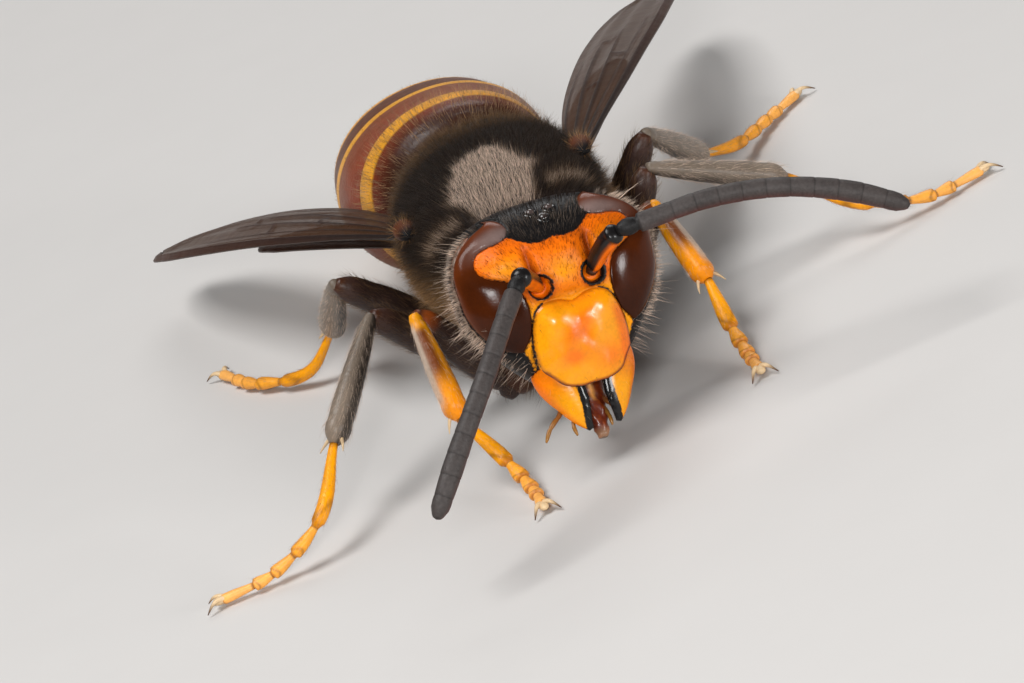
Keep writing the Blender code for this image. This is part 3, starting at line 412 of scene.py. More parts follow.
COLOUR_VALUES = ("tone", "hair_tone")
NUMBER_VALUES = ("fuzz", "stray", "pile", "dark_edge", "gloss")


class Shape:
    """A surface in millimetres with the values that its finish and its coat read at each point."""

    def __init__(self, points, faces, uvs):
        """Takes points, faces as point numbers, and a place on the unwrap for each face corner."""
        self.points = np.asarray(points, float)
        self.faces = [tuple(int(i) for i in face) for face in faces]
        self.uvs = np.asarray(uvs, float)
        count = len(self.points)
        self.tone = np.zeros((count, 3))
        self.hair_tone = np.zeros((count, 3))
        self.lie = np.tile([0.0, 1.0, 0.0], (count, 1))
        self.fuzz = np.zeros(count)
        self.stray = np.zeros(count)
        self.pile = np.ones(count)
        self.dark_edge = np.full(count, -1.0)
        self.gloss = np.zeros(count)

    def tint(self, tone, share):
        """Mixes a colour into the surface by a share at each point."""
        self.tone = mixed(self.tone, tone, share)

    def normals(self):
        """Outward normals at the points."""
        total = np.zeros_like(self.points)
        volume = 0.0
        for size in (3, 4):
            chosen = np.array([face for face in self.faces if len(face) == size])
            if not len(chosen):
                continue
            a, b, c = (self.points[chosen[:, k]] for k in (0, 1, 2))
            normal = np.cross(b - a, c - a)
            if size == 4:
                d = self.points[chosen[:, 3]]
                normal = np.cross(c - a, d - b)
            volume += np.einsum("ij,ij->i", a - self.points.mean(0), normal).sum()
            for k in range(size):
                np.add.at(total, chosen[:, k], normal)
        return unit_rows(total) * np.sign(volume)


def joined(shapes):
    """Several shapes as one, each on its own tile of the unwrap."""
    across = int(np.ceil(np.sqrt(len(shapes))))
    faces = []
    uvs = []
    start = 0
    for number, shape in enumerate(shapes):
        tile = np.array([number % across, number // across], float)
        faces += [tuple(i + start for i in face) for face in shape.faces]
        uvs.append((tile + 0.02 + 0.96 * shape.uvs) / across)
        start += len(shape.points)
    whole = Shape(np.vstack([shape.points for shape in shapes]), faces, np.vstack(uvs))
    for value in (*COLOUR_VALUES, "lie", *NUMBER_VALUES):
        setattr(whole, value, np.concatenate([getattr(shape, value) for shape in shapes]))
    return whole


def ring_shape(rings):
    """Closed surface through rings of equal count, each end closed by a fan to its middle."""
    rings = np.asarray(rings, float)
    count, sides = rings.shape[:2]
    points = rings.reshape(-1, 3)
    first = len(points)
    points = np.vstack([points, rings[0].mean(0), rings[-1].mean(0)])
    lengths = np.linalg.norm(np.diff(rings.mean(1), axis=0), axis=1)
    lengths += np.abs(np.diff(np.linalg.norm(rings - rings.mean(1)[:, None], axis=2).mean(1)))
    level = np.concatenate([[0.0], np.cumsum(lengths + 1e-6)])
    level = 0.03 + 0.94 * level / level[-1]
    faces = []
    uvs = []
    for i in range(count - 1):
        for j in range(sides):
            k = (j + 1) % sides
            faces.append((i * sides + j, i * sides + k, (i + 1) * sides + k, (i + 1) * sides + j))
            u, v = j / sides, (j + 1) / sides
            uvs += [(u, level[i]), (v, level[i]), (v, level[i + 1]), (u, level[i + 1])]
    last = (count - 1) * sides
    for j in range(sides):
        k = (j + 1) % sides
        u, v = j / sides, (j + 1) / sides
        faces.append((first, k, j))
        uvs += [((u + v) / 2, 0.0), (v, 0.03), (u, 0.03)]
        faces.append((first + 1, last + j, last + k))
        uvs += [((u + v) / 2, 1.0), (u, 0.97), (v, 0.97)]
    return Shape(points, faces, uvs)


def limb(path, half_width, half_depth, sides, side_hint):
    """Tube with oval sections along a path; the width lies across side_hint's plane."""
    path = np.asarray(path, float)
    ahead = unit_rows(np.gradient(path, axis=0))
    across = unit_rows(np.cross(ahead, np.asarray(side_hint, float)))
    over = np.cross(across, ahead)
    angle = np.linspace(0.0, 2.0 * np.pi, sides, endpoint=False)
    half_width = np.ones(len(path)) * half_width
    half_depth = np.ones(len(path)) * half_depth
    rings = (path[:, None]
             + np.cos(angle)[None, :, None] * (across * half_width[:, None])[:, None]
             + np.sin(angle)[None, :, None] * (over * half_depth[:, None])[:, None])
    shape = ring_shape(rings)
    place = np.repeat(np.linspace(0.0, 1.0, len(path)), sides)
    shape.at = np.concatenate([place, [0.0, 1.0]])
    shape.angle = np.concatenate([np.tile(angle, len(path)), [0.0, 0.0]])
    shape.flow = np.vstack([np.repeat(ahead, sides, axis=0), ahead[0], ahead[-1]])
    shape.middle = np.vstack([np.repeat(path, sides, axis=0), path[0], path[-1]])
    return shape


def cube_ball(steps):
    """Unit directions, faces and unwrap of a ball made from a cube, with no poles."""
    lines = np.tan(np.linspace(-np.pi / 4, np.pi / 4, steps + 1))
    number = {}
    points = []
    faces = []
    uvs = []

    def corner(point):
        key = tuple(np.round(point, 6))
        if key not in number:
            number[key] = len(points)
            points.append(point / np.linalg.norm(point))
        return number[key]

    for axis in range(3):
        for sign in (-1.0, 1.0):
            grid = np.empty((steps + 1, steps + 1), int)
            for i, u in enumerate(lines):
                for j, v in enumerate(lines):
                    point = np.empty(3)
                    point[axis] = sign
                    point[(axis + 1) % 3] = u
                    point[(axis + 2) % 3] = v
                    grid[i, j] = corner(point)
            tile = np.array([axis / 3.0, 0.0 if sign < 0 else 0.5]) + 0.01
            for i in range(steps):
                for j in range(steps):
                    cells = [(i, j), (i + 1, j), (i + 1, j + 1), (i, j + 1)]
                    if sign < 0.0:
                        cells.reverse()
                    faces.append([grid[cell] for cell in cells])
                    uvs += [tile + np.array(cell) / steps * (0.313, 0.48) for cell in cells]
    return np.array(points), faces, np.array(uvs)


# Pieces


def placed(name, data):
    """New object of some data, linked into the scene."""
    thing = bpy.data.objects.new(name, data)
    bpy.context.scene.collection.objects.link(thing)
    return thing


def make_piece(name, shape, material, replaced=()):
    """Turns a shape into a named piece with its values, riding on the body."""
    thing = raw_object(name, shape)
    thing.data.materials.append(material)
    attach(thing, "root")
    if replaced:
        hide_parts(*replaced)
    return thing


def raw_object(name, shape):
    """Object of a shape, in metres over the middle of the floor plan."""
    mesh = bpy.data.meshes.new(name)
    mesh.from_pydata(((shape.points - PLAN_MIDDLE) * MM).tolist(), [], shape.faces)
    layer = mesh.uv_layers.new(name="Unwrap")
    layer.data.foreach_set("uv", shape.uvs.ravel())
    for value in COLOUR_VALUES:
        rows = np.hstack([getattr(shape, value), np.ones((len(shape.points), 1))])
        mesh.attributes.new(value, "FLOAT_COLOR", "POINT").data.foreach_set("color", rows.ravel())
    mesh.attributes.new("lie", "FLOAT_VECTOR", "POINT").data.foreach_set("vector", shape.lie.ravel())
    for value in NUMBER_VALUES:
        mesh.attributes.new(value, "FLOAT", "POINT").data.foreach_set("value", getattr(shape, value))
    work = bmesh.new()
    work.from_mesh(mesh)
    bmesh.ops.recalc_face_normals(work, faces=work.faces)
    work.to_mesh(mesh)
    work.free()
    mesh.shade_smooth()
    return placed(name, mesh)


# Head form


def head_reach(direction):
    """Distance from the head's middle to its plain surface along each direction."""
    x, y, z = direction[:, 0], direction[:, 1], direction[:, 2]
    depth = np.where(y < 0.0, HEAD_FRONT, HEAD_BACK)
    height = np.where(z < 0.0, HEAD_CHIN, HEAD_TOP)
    power = (np.abs(x / HEAD_HALF_WIDTH) ** HEAD_ROUNDNESS + np.abs(y / depth) ** HEAD_ROUNDNESS
             + np.abs(z / height) ** HEAD_ROUNDNESS)
    return power ** (-1.0 / HEAD_ROUNDNESS)


def cheek_scale(z):
    """How far the cheeks are drawn in towards the jaws, at a height."""
    return 1.0 - CHEEK_TAPER * smoothstep(0.3, 2.6, -np.asarray(z, float))


def crown_lean(z):
    """How far the crown leans back, at a height."""
    return CROWN_LEAN * smoothstep(0.4, HEAD_TOP, z)


def on_head(directions, lift):
    """Points on the plain head surface along directions from its middle, raised by lift."""
    unit = unit_rows(directions)
    points = unit * (head_reach(unit) + lift)[:, None]
    points[:, 0] *= cheek_scale(points[:, 2])
    points[:, 1] += HEAD_MIDDLE + crown_lean(points[:, 2])
    return points


def towards(points):
    """Directions from the head's middle that lead on_head to places on its surface."""
    out = np.array(points, float)
    out[:, 0] /= cheek_scale(out[:, 2])
    out[:, 1] -= HEAD_MIDDLE + crown_lean(out[:, 2])
    return out


def face_front(x, z):
    """Depth of the plain face at a place seen from the front."""
    rest = 1.0 - np.abs(x / cheek_scale(z) / HEAD_HALF_WIDTH) ** HEAD_ROUNDNESS
    height = np.where(np.asarray(z) < 0.0, HEAD_CHIN, HEAD_TOP)
    rest = rest - np.abs(z / height) ** HEAD_ROUNDNESS
    return HEAD_MIDDLE - HEAD_FRONT * np.maximum(rest, 0.0) ** (1.0 / HEAD_ROUNDNESS) + crown_lean(z)


def eye_rims(steps):
    """The eye's inner and outer rim on the left side of the head, from the top down."""
    rim_t = np.linspace(0.0, 1.0, steps + 1)
    inner = along(EYE_INNER_RIM, rim_t)
    inner = np.stack([inner[:, 0], face_front(inner[:, 0], inner[:, 1]), inner[:, 1]], axis=1)
    outer = along(EYE_OUTER_RIM, rim_t)
    inner[0] = outer[0] = (inner[0] + outer[0]) / 2.0
    inner[-1] = outer[-1] = (inner[-1] + outer[-1]) / 2.0
    return rim_t, inner, outer


def search_tree(points):
    """Tree that finds the nearest of some points."""
    tree = kdtree.KDTree(len(points))
    for i, point in enumerate(points):
        tree.insert(point, i)
    tree.balance()
    return tree


def eye_distance(points):
    """Distance of head points to the nearest eye rim; below zero inside an eye."""
    inner, outer = eye_rims(160)[1:]
    rim = on_head(towards(np.vstack([inner, outer])), 0.0)
    inside = []
    for s in np.linspace(0.0, 1.0, 61)[1:-1]:
        inside.append(on_head(towards((1.0 - s) * inner + s * outer), 0.0))
    inside = np.vstack(inside)
    rim_tree, inside_tree = search_tree(rim), search_tree(inside)
    folded = points.copy()
    folded[:, 0] = np.abs(folded[:, 0])
    result = np.empty(len(points))
    for i, point in enumerate(folded):
        if point[0] < 0.7:
            result[i] = 1.0
            continue
        edge = rim_tree.find(point)[2]
        result[i] = -edge if inside_tree.find(point)[2] < 0.036 else edge
    return result


def clypeus_loop(count):
    """Points round the whole clypeus outline, the last one on the first."""
    half = np.array(CLYPEUS_OUTLINE)
    loop = np.vstack([half, (half * [-1.0, 1.0])[-2:0:-1]])
    return along(np.vstack([loop, loop[:1]]), np.linspace(0.0, 1.0, count))


def outline_distance(x, z):
    """Distance in the face's plane to the clypeus outline; below zero on the clypeus."""
    loop = clypeus_loop(OUTLINE_POINTS)
    spot = np.stack([x, z], axis=1)
    away = np.linalg.norm(spot[:, None] - loop[None], axis=2)
    nearest = loop[away.argmin(1)]
    centre = np.array(CLYPEUS_CENTRE)
    inside = np.linalg.norm(spot - centre, axis=1) < np.linalg.norm(nearest - centre, axis=1)
    return np.where(inside, -away.min(1), away.min(1))


def socket_distance(x, z):
    """Distance in the face's plane to the nearer feeler socket's middle."""
    return np.hypot(np.abs(x) - SOCKET_PLACE[0], z - SOCKET_PLACE[1])


def face_relief(points):
    """Forms of the face, as movement forwards."""
    x, z = points[:, 0], points[:, 2]
    wide = np.abs(x)
    away = socket_distance(x, z) / SOCKET_RADIUS
    rise = 0.15 * np.exp(-((x / 0.42) ** 2 + ((z + 0.22) / 0.36) ** 2))
    rise += 0.08 * hump(wide, 1.38, 0.36) * hump(z, 0.62, 0.32)
    rise += 0.06 * hump(x, 0.0, 0.50) * hump(z, 0.42, 0.34)
    crease = hump(wide, 0.76 + 0.04 * z, 0.11) * smoothstep(-0.20, 0.05, z)
    rise -= 0.16 * crease * falling(0.50, 0.95, z)
    rise -= 0.07 * hump(x, 0.0, 0.45) * hump(z, -0.52, 0.10)
    rise -= SOCKET_DEPTH * falling(0.62, 0.95, away)
    rise += 0.035 * hump(away, 1.06, 0.13)
    rise += 0.04 * hump(x, 0.0, 0.42) * hump(z, 1.45, 0.20)
    return rise


def head_shape():
    """The head's skin with its hollows, rims, markings, painted shade in its creases and painted highlights
    on its bulges, and the values for its hairs.
    """
    ball, faces, uvs = cube_ball(HEAD_STEPS)
    points = on_head(ball, 0.0)
    x, y, z = points[:, 0], points[:, 1], points[:, 2]
    frontness = smoothstep(0.2, 0.9, -y)
    shape = Shape(points, faces, uvs)
    normal = shape.normals()
    eye = eye_distance(points)
    plate = np.where(y < -0.3, outline_distance(x, z), 1.0)
    moved = points.copy()
    moved[:, 1] -= face_relief(points) * frontness
    inner = smoothstep(0.0, 0.12, -eye) * 0.12
    groove = 0.030 * hump(eye, 0.0, 0.030)
    lip = 0.012 * hump(eye, 0.08, 0.05)
    seam = 0.05 * hump(plate, 0.02, 0.05) * frontness
    behind = 0.05 * hump(y, 0.02, 0.16) * smoothstep(0.9, 1.6, np.abs(x))
    moved -= normal * (inner + groove - lip + seam + behind)[:, None]
    shape.points = from_head(moved)

    wide = np.abs(x)
    border = profile(CROWN_BORDER, wide)
    crown = z - border
    cheek = np.maximum(wide - profile(CHEEK_BORDER, z), y + 0.30)
    rim = np.where(np.abs(eye) < 0.9, 0.022 - np.abs(eye), -1.0)
    socket = socket_distance(x, z)
    ring = np.where(y < -0.3, np.where(x > 0.0, 0.060, 0.035) - np.abs(socket - 0.285), -1.0)
    shield = np.where(y < -0.3, 0.04 - np.abs(plate), -1.0)
    shield = np.where((z > -0.95) & (np.abs(wide - 1.0) > 0.30), -1.0, shield)
    shape.dark_edge = np.maximum.reduce([crown, cheek, rim, ring, shield])

    orange, yellow, red = colour("orange"), colour("yellow"), colour("red")
    low = falling(-0.75, -0.25, z)
    tone = mixed(orange, yellow, low * 0.9)
    # Lighter yellow-orange on the raised shield between the sockets and on the lobes beside the eyes is
    # painted highlight
    light = hump(x, 0.0, 0.46) * hump(z, 0.05, 0.36) + hump(wide, 1.35, 0.42) * hump(z, 0.42, 0.28)
    tone = mixed(tone, orange * 0.22 + yellow * 0.78, np.clip(light, 0.0, 1.0) * 0.95)
    # Red mixed into the creases beside the shield, round the sockets, in the groove over the clypeus and
    # along the eye rims is painted shade; the same mask also reddens a band under the crown's border
    crease = hump(wide, 0.74 + 0.05 * z, 0.10) * smoothstep(-0.15, 0.10, z)
    hollow = crease * falling(0.60, 0.95, z) * 0.8
    hollow += 0.5 * hump(socket, 0.34, 0.08) + 0.30 * smoothstep(-0.25, -0.02, crown)
    hollow += 0.35 * hump(z, -0.52, 0.14) * (wide < 0.6)
    hollow += 0.5 * smoothstep(-0.10, 0.0, -np.abs(eye)) * (z > -0.2)
    tone = mixed(tone, red, np.clip(hollow, 0.0, 1.0) * 0.75)
    tone = mixed(tone, red * 0.7, smoothstep(-0.62, -0.40, y) * (z < 0.0))
    shape.tone = tone

    shape.hair_tone = mixed(colour("dark_hair") * 1.3, colour("pale_hair"),
                            np.clip((cheek > 0.0) * (wide > 1.0) * falling(1.0, 1.4, z), 0.0, 1.0))
    top = smoothstep(0.0, 0.3, crown) * (y < 0.3)
    face_share = falling(-0.16, -0.04, crown) * (cheek < 0.0)
    shape.hair_tone = mixed(shape.hair_tone, colour("orange") * 0.30, face_share)
    crown_share = 0.6 * smoothstep(0.0, 0.2, crown) * (z < 1.5)
    shape.hair_tone = mixed(shape.hair_tone, colour("pale_hair") * 0.30, crown_share)
    fuzz = 0.26 + 0.21 * smoothstep(-0.30, 0.0, crown) - 0.15 * top
    behind_eye = smoothstep(-0.88, -0.62, y) * falling(1.25, 1.5, z) * (wide > 1.2)
    fringe = hump(eye, 0.10, 0.20) * behind_eye
    silver = behind_eye * smoothstep(0.01, 0.04, eye) * falling(0.12, 0.26, eye)
    shape.dark_edge = shape.dark_edge * (1.0 - silver) - 0.1 * silver
    shape.tint(colour("pale_hair") * 0.34, silver)
    below_eye = smoothstep(0.02, 0.12, cheek) * falling(-1.1, -0.7, z) * (y < 0.4)
    shape.hair_tone = mixed(shape.hair_tone, colour("pale_hair") * 0.9, np.clip(fringe * 1.5, 0.0, 1.0))
    fuzz = np.maximum(fuzz * (cheek < 0.02), fringe)
    fuzz = np.maximum(fuzz, 0.05 * below_eye)
    shape.stray = np.clip(behind_eye * smoothstep(0.02, 0.08, eye) + below_eye, 0.0, 1.0) * (y < 0.5)
    fuzz *= smoothstep(0.0, 0.05, eye) * smoothstep(0.34, 0.42, socket)
    fuzz *= np.where(plate < 0.05, 0.0, 1.0) * falling(0.45, 0.75, y)
    fuzz *= 1.0 - 0.7 * falling(-1.0, 0.2, z) * (y < -0.75) * (cheek < 0.0)
    shape.fuzz = fuzz
    shape.pile = 0.17 + 0.07 * smoothstep(-0.1, 0.4, crown) + 0.10 * fringe + 0.05 * below_eye
    lie_local = normal * 0.35 + np.stack([x * 0.35, np.full_like(x, -0.1), np.full_like(x, 0.75)], axis=1)
    outward = np.stack([np.sign(x), np.full_like(x, -0.15), -0.1 + z * 0.30], axis=1)
    away = np.clip(fringe + shape.stray, 0.0, 1.0)
    lie_local = mixed(lie_local, normal * 0.55 + outward * 0.8, away)
    shape.lie = unit_rows(lie_local @ HEAD_MATRIX.T)
    return shape


def ocellus_shapes():
    """The three simple eyes on the crown, as glossy beads in the skin."""
    beads = []
    for x, z in OCELLI:
        plain = on_head(towards(np.array([(x, float(face_front(x, z)), z)])), 0.0)
        lift = face_relief(plain)[0]
        centre = on_head(towards(plain), -OCELLUS_RADIUS + OCELLUS_RISE)[0] - [0.0, lift, 0.0]
        ball, faces, uvs = cube_ball(12)
        bead = Shape(from_head(centre + ball * OCELLUS_RADIUS), faces, uvs)
        bead.tone[:] = colour("mauve_and_sheen") * (0.12 if x == 0.0 else 0.30)
        beads.append(bead)
        up = unit_rows(towards(plain))[0]
        side = np.array([1.0, 0.0, 0.0])
        over = np.cross(up, side)
        wide, high = OCELLUS_RING
        foot = centre + up * (OCELLUS_RADIUS - OCELLUS_RISE - 0.02)
        saucer = foot + ball @ np.array([side * wide, over * wide, up * high])
        ring = Shape(from_head(saucer), faces, uvs)
        ring.tone[:] = colour("black")
        beads.append(ring)
    return beads


def eye_shape(side):
    """Kidney-shaped compound eye, a closed lens that stands a little over the skin."""
    across, down = EYE_STEPS
    rim_t, inner, outer = eye_rims(down)
    bulge = sizes().eye_bulge / MM
    front = []
    back = []
    for s in np.linspace(0.0, 1.0, across + 1):
        direction = towards((1.0 - s) * inner + s * outer)
        round_off = np.clip(4.0 * s * (1.0 - s), 0.0, 1.0) ** 0.75 * np.ones(len(rim_t))
        round_off *= np.sqrt(np.clip(1.0 - (2.0 * rim_t - 1.0) ** 8, 0.0, 1.0))
        front.append(on_head(direction, bulge * round_off - 0.012))
        back.append(on_head(direction, -EYE_DEPTH * round_off - 0.02))
    front, back = np.array(front), np.array(back)
    points = []
    number = {}
    faces = []
    uvs = []

    def corner(sheet, i, j):
        edge = i in (0, across) or j in (0, down)
        if j in (0, down):
            i = 0
        key = (0 if edge else sheet, i, j)
        if key not in number:
            number[key] = len(points)
            points.append((front if sheet == 0 or edge else back)[i, j])
        return number[key]

    for sheet in (0, 1):
        for i in range(across):
            for j in range(down):
                cells = [(i, j), (i + 1, j), (i + 1, j + 1), (i, j + 1)]
                if sheet:
                    cells.reverse()
                quad = []
                places = []
                for cell in cells:
                    here = corner(sheet, *cell)
                    if here not in quad:
                        quad.append(here)
                        places.append((cell[0] / across * 0.48 + 0.5 * sheet, cell[1] / down))
                if len(quad) > 2:
                    faces.append(quad)
                    uvs += places
    points = np.array(points)
    x, z = points[:, 0], points[:, 2]
    shape = Shape(points, faces, uvs)
    back_share = smoothstep(-1.10, -0.72, points[:, 1])
    # Mauve on the upper lobes of the eye is painted sheen, fading towards the back of the eye
    upper_lobe_sheen = smoothstep(0.50, 1.35, z - 0.10 * (x - 1.3)) * (1.0 - 0.90 * back_share)
    shape.tone = mixed(colour("eye"), colour("mauve_and_sheen"), upper_lobe_sheen)
    shape.tint(colour("eye") * 0.55, falling(-1.4, 0.3, z))
    shape.tint(colour("eye") * 2.2, back_share * 0.7 * (1.0 - upper_lobe_sheen))
    shape.gloss = upper_lobe_sheen
    local = points.copy()
    local[:, 0] *= SIGN[side]
    shape.points = from_head(local)
    return shape


def clypeus_shape():
    """Bulging shield over the mouth, with its thin dark border and deeper orange middle."""
    rim = clypeus_loop(161)[:-1]
    centre = np.array(CLYPEUS_CENTRE)
    heights, fronts = zip(*CLYPEUS_EDGE_FRONT)
    rings = []
    outs = 1.0 - (1.0 - np.linspace(1.0 / 40, 1.0, 40)) ** 1.25
    for out in outs:
        flat = centre + (rim - centre) * out
        x, z = flat[:, 0], flat[:, 1]
        depth = -through(heights, fronts, z) - CLYPEUS_BULGE * (1.0 - out**2.6)
        middle = np.hypot((x - 0.10) / 0.70, (z + 1.42) / 0.72)
        depth += 0.050 * falling(0.0, 1.20, middle)
        depth += 0.012 * np.sin(x * 9.0 + 1.0) * np.sin(z * 7.0) * (1.0 - out**6)
        depth += 0.04 * hump(x, 0.0, 0.28) * hump(z, -2.40, 0.26)
        depth += 0.03 * smoothstep(0.95, 1.0, out)
        rings.append(np.stack([x, depth, z], axis=1))
    back = rings[-1].copy()
    back[:, 0] *= 0.9
    back[:, 1] += CLYPEUS_ROOT * 0.6
    back[:, 2] = centre[1] + (back[:, 2] - centre[1]) * 0.9
    rings.append(back)
    shape = ring_shape(rings)
    local = shape.points.copy()
    x, z = local[:, 0], local[:, 2]
    out = np.concatenate([np.repeat([*outs, 1.05], len(rim)), [0.0, 1.05]])
    edge = outline_distance(x, z)
    along_swath = 0.77 * (x + 0.07) + 0.64 * (z + 1.30)
    across_swath = -0.64 * (x + 0.07) + 0.77 * (z + 1.30)
    deep = 0.10 + 0.95 * hump(across_swath, -0.06, 0.26) * hump(along_swath, -0.05, 0.62)
    deep += 0.90 * hump(x, -0.36, 0.28) * hump(z, -2.06, 0.20)
    deep += 0.70 * hump(x, 0.55, 0.45) * hump(z, -2.25, 0.34)
    deep += 0.75 * smoothstep(0.76, 1.0, x) * smoothstep(0.9, 1.3, -z)
    deep += 0.45 * hump(x, 0.08, 0.16) * hump(z, -1.75, 0.3)
    deep += 0.45 * hump(x, 0.0, 0.7) * smoothstep(-0.95, -0.70, z)
    tone = mixed(colour("yellow"), colour("orange"), np.clip(deep, 0.0, 0.92))
    border = smoothstep(-0.10, -0.02, edge)
    tone = mixed(tone, colour("red"), 0.80 * border * (z < -2.2) + 0.35 * border * (z >= -2.2))
    shape.tone = tone
    shape.dark_edge = np.where((z > -0.95) & (np.abs(np.abs(x) - 1.0) > 0.28), -0.1, 0.012 + edge)
    shape.dark_edge[out > 1.0] = 1.0
    flat = (local[:, [0, 2]] - centre) / 2.6 + 0.5
    corners = np.array([i for face in shape.faces for i in face])
    shape.uvs = flat[corners]
    shape.fuzz = 0.5 * smoothstep(-0.35, -0.05, edge) * (out <= 1.0)
    shape.pile[:] = 0.14
    shape.hair_tone[:] = colour("dark_hair") * 2.0
    lie = unit_rows(np.stack([x * 0.3, np.full_like(x, -1.0), np.full_like(x, -0.4)], axis=1))
    shape.lie = lie @ HEAD_MATRIX.T
    shape.points = from_head(local)
    return shape


def mandible_shape(side):
    """Jaw with its blunt teeth and black inner edge."""
    steps, sides = MANDIBLE_STEPS
    at = np.linspace(0.0, 1.0, steps)
    path = along(MANDIBLE_PATH, at) * [SIGN[side], 1.0, 1.0]
    places = np.linspace(0.0, 1.0, len(MANDIBLE_PATH))
    width = through(places, MANDIBLE_HALF_WIDTH, at)
    depth = through(places, MANDIBLE_HALF_DEPTH, at)
    facing = np.array(MANDIBLE_FACING) * [SIGN[side], 1.0, 1.0]
    shape = limb(path, width, depth, sides, facing)
    local = shape.points.copy()
    offset = local - shape.middle
    across = np.cos(shape.angle) * SIGN[side]
    inner = smoothstep(0.55, 0.95, across)
    teeth = hump(shape.at, 0.66, 0.030) + hump(shape.at, 0.77, 0.030) + 0.9 * hump(shape.at, 0.87, 0.028)
    local += offset * (inner * (0.05 * teeth - 0.04))[:, None]
    local -= offset * (0.05 * hump(across, 0.60, 0.10) * hump(shape.at, 0.55, 0.30))[:, None]
    yellow, orange = colour("yellow"), colour("orange")
    tone = mixed(yellow, orange, 0.75 * falling(0.22, 0.60, shape.at))
    shape.tone = mixed(tone, orange, 0.6 * falling(-0.85, -0.35, across))
    breadth = np.concatenate([np.repeat(width, sides), width[[0, -1]]])
    edge = (across - 1.0) * breadth + 0.19
    edge = np.maximum(edge, (shape.at - 0.955) * 1.5)
    edge = np.maximum(edge, 0.10 - shape.at)
    shape.dark_edge = edge
    shape.fuzz = 0.12 * smoothstep(0.15, 0.4, shape.at)
    shape.pile[:] = 0.18
    shape.hair_tone[:] = colour("pale_hair")
    lie = unit_rows(unit_rows(offset) * 0.7 + shape.flow)
    shape.lie = lie @ HEAD_MATRIX.T
    shape.points = from_head(local)
    return shape


def mouth_shapes():
    """Folded lip between the jaws, and the jointed palps beside it."""
    at = np.linspace(0.0, 1.0, 30)
    places = np.linspace(0.0, 1.0, len(MOUTH_PATH))
    path = along(MOUTH_PATH, at)
    lip = limb(path, through(places, MOUTH_HALF_WIDTH, at), through(places, MOUTH_HALF_DEPTH, at), 24,
               (0.0, -1.0, 0.0))
    aside = (lip.points - lip.middle)[:, 0]
    lumps = np.sin(lip.at * 34.0 + aside * 9.0) * np.sin(aside * 26.0 + lip.at * 11.0)
    lip.points += (lip.points - lip.middle) * (0.16 * lumps * smoothstep(0.3, 0.5, lip.at))[:, None]
    lip.points[:, 1] += 0.08 * hump(aside, 0.0, 0.05) * hump(lip.at, 0.55, 0.2)
    red, yellow = colour("red"), colour("yellow")
    # Lighter orange on the crests of the lumps is painted highlight over the red-brown lip
    lip.tone = mixed(red * 0.40 + colour("brown") * 0.5, colour("orange") * 0.40,
                     smoothstep(0.1, 0.9, lumps) * 0.6)
    strip = hump(aside, 0.0, 0.055) * falling(0.46, 0.56, lip.at)
    lip.tint(yellow * 0.8 + 0.08, strip)
    tip = smoothstep(0.86, 0.97, lip.at)
    lip.tint(colour("claw") * 0.8, tip * 0.3)
    shapes = [lip]
    palps = (
        ((0.70, -0.55, -3.00), (0.98, -0.95, -3.36), (1.20, -1.10, -3.48), (1.36, -1.14, -3.62),
         (1.52, -1.18, -3.86), 0.050),
        ((0.40, -0.60, -3.00), (0.62, -0.90, -3.50), (0.72, -1.05, -3.72), (0.70, -1.12, -3.92), 0.045),
    )
    for sign in (-1.0, 1.0):
        for *places, thick in palps:
            at = np.linspace(0.0, 1.0, 33)
            path = along(places, at) * [sign if sign < 0.0 else 0.3, 1.0, 1.0]
            beat = 1.0 + 0.30 * np.abs(np.sin(at * np.pi * 4.0)) ** 0.6
            radius = thick * beat * (1.0 - 0.5 * at**8)
            palp = limb(path, radius, radius, 10, (0.2, -1.0, 0.3))
            palp.tone = mixed(red * 0.5 + 0.02, colour("amber") * 0.42, palp.at * 0.8)
            shapes.append(palp)
    for shape in shapes:
        shape.points = from_head(shape.points)
    return shapes


# Feelers


def scape_shape(side):
    """First long joint of a feeler with the ball in its socket, orange beneath."""
    x = SIGN[side] * SOCKET_PLACE[0]
    z = SOCKET_PLACE[1]
    socket = from_head([(x, float(face_front(x, z)) + 0.16, z)])[0]
    elbow = np.array(FLAGELLUM_PATH[side][0])
    at = np.linspace(0.0, 1.0, 48)
    path = socket + (elbow - socket) * at[:, None]
    bow = np.cross(elbow - socket, [0.0, 0.0, 1.0])
    bow = np.cross(bow, elbow - socket)
    bow /= np.linalg.norm(bow)
    path = path + bow * (0.07 * np.sin(np.pi * at))[:, None]
    width = profile(SCAPE_HALF_WIDTH, at) - 0.05 * hump(at, 0.095, 0.02)
    shape = limb(path, width, width, FEELER_SIDES, (0.3, 0.5, 1.0))
    offset = unit_rows(shape.points - shape.middle)
    below = np.array((0.1, -0.45, -0.88) if side == "right" else (0.20, -0.54, -0.81))
    under = smoothstep(0.62, 0.74, offset @ (below / np.linalg.norm(below)))
    under *= falling(0.80, 0.92, shape.at)
    shape.tone = mixed(colour("black"), colour("orange"), under)
    ball = falling(0.075, 0.10, shape.at)
    shape.tint(colour("orange") if side == "right" else colour("brown"), ball)
    shape.gloss[:] = 1.0
    return shape


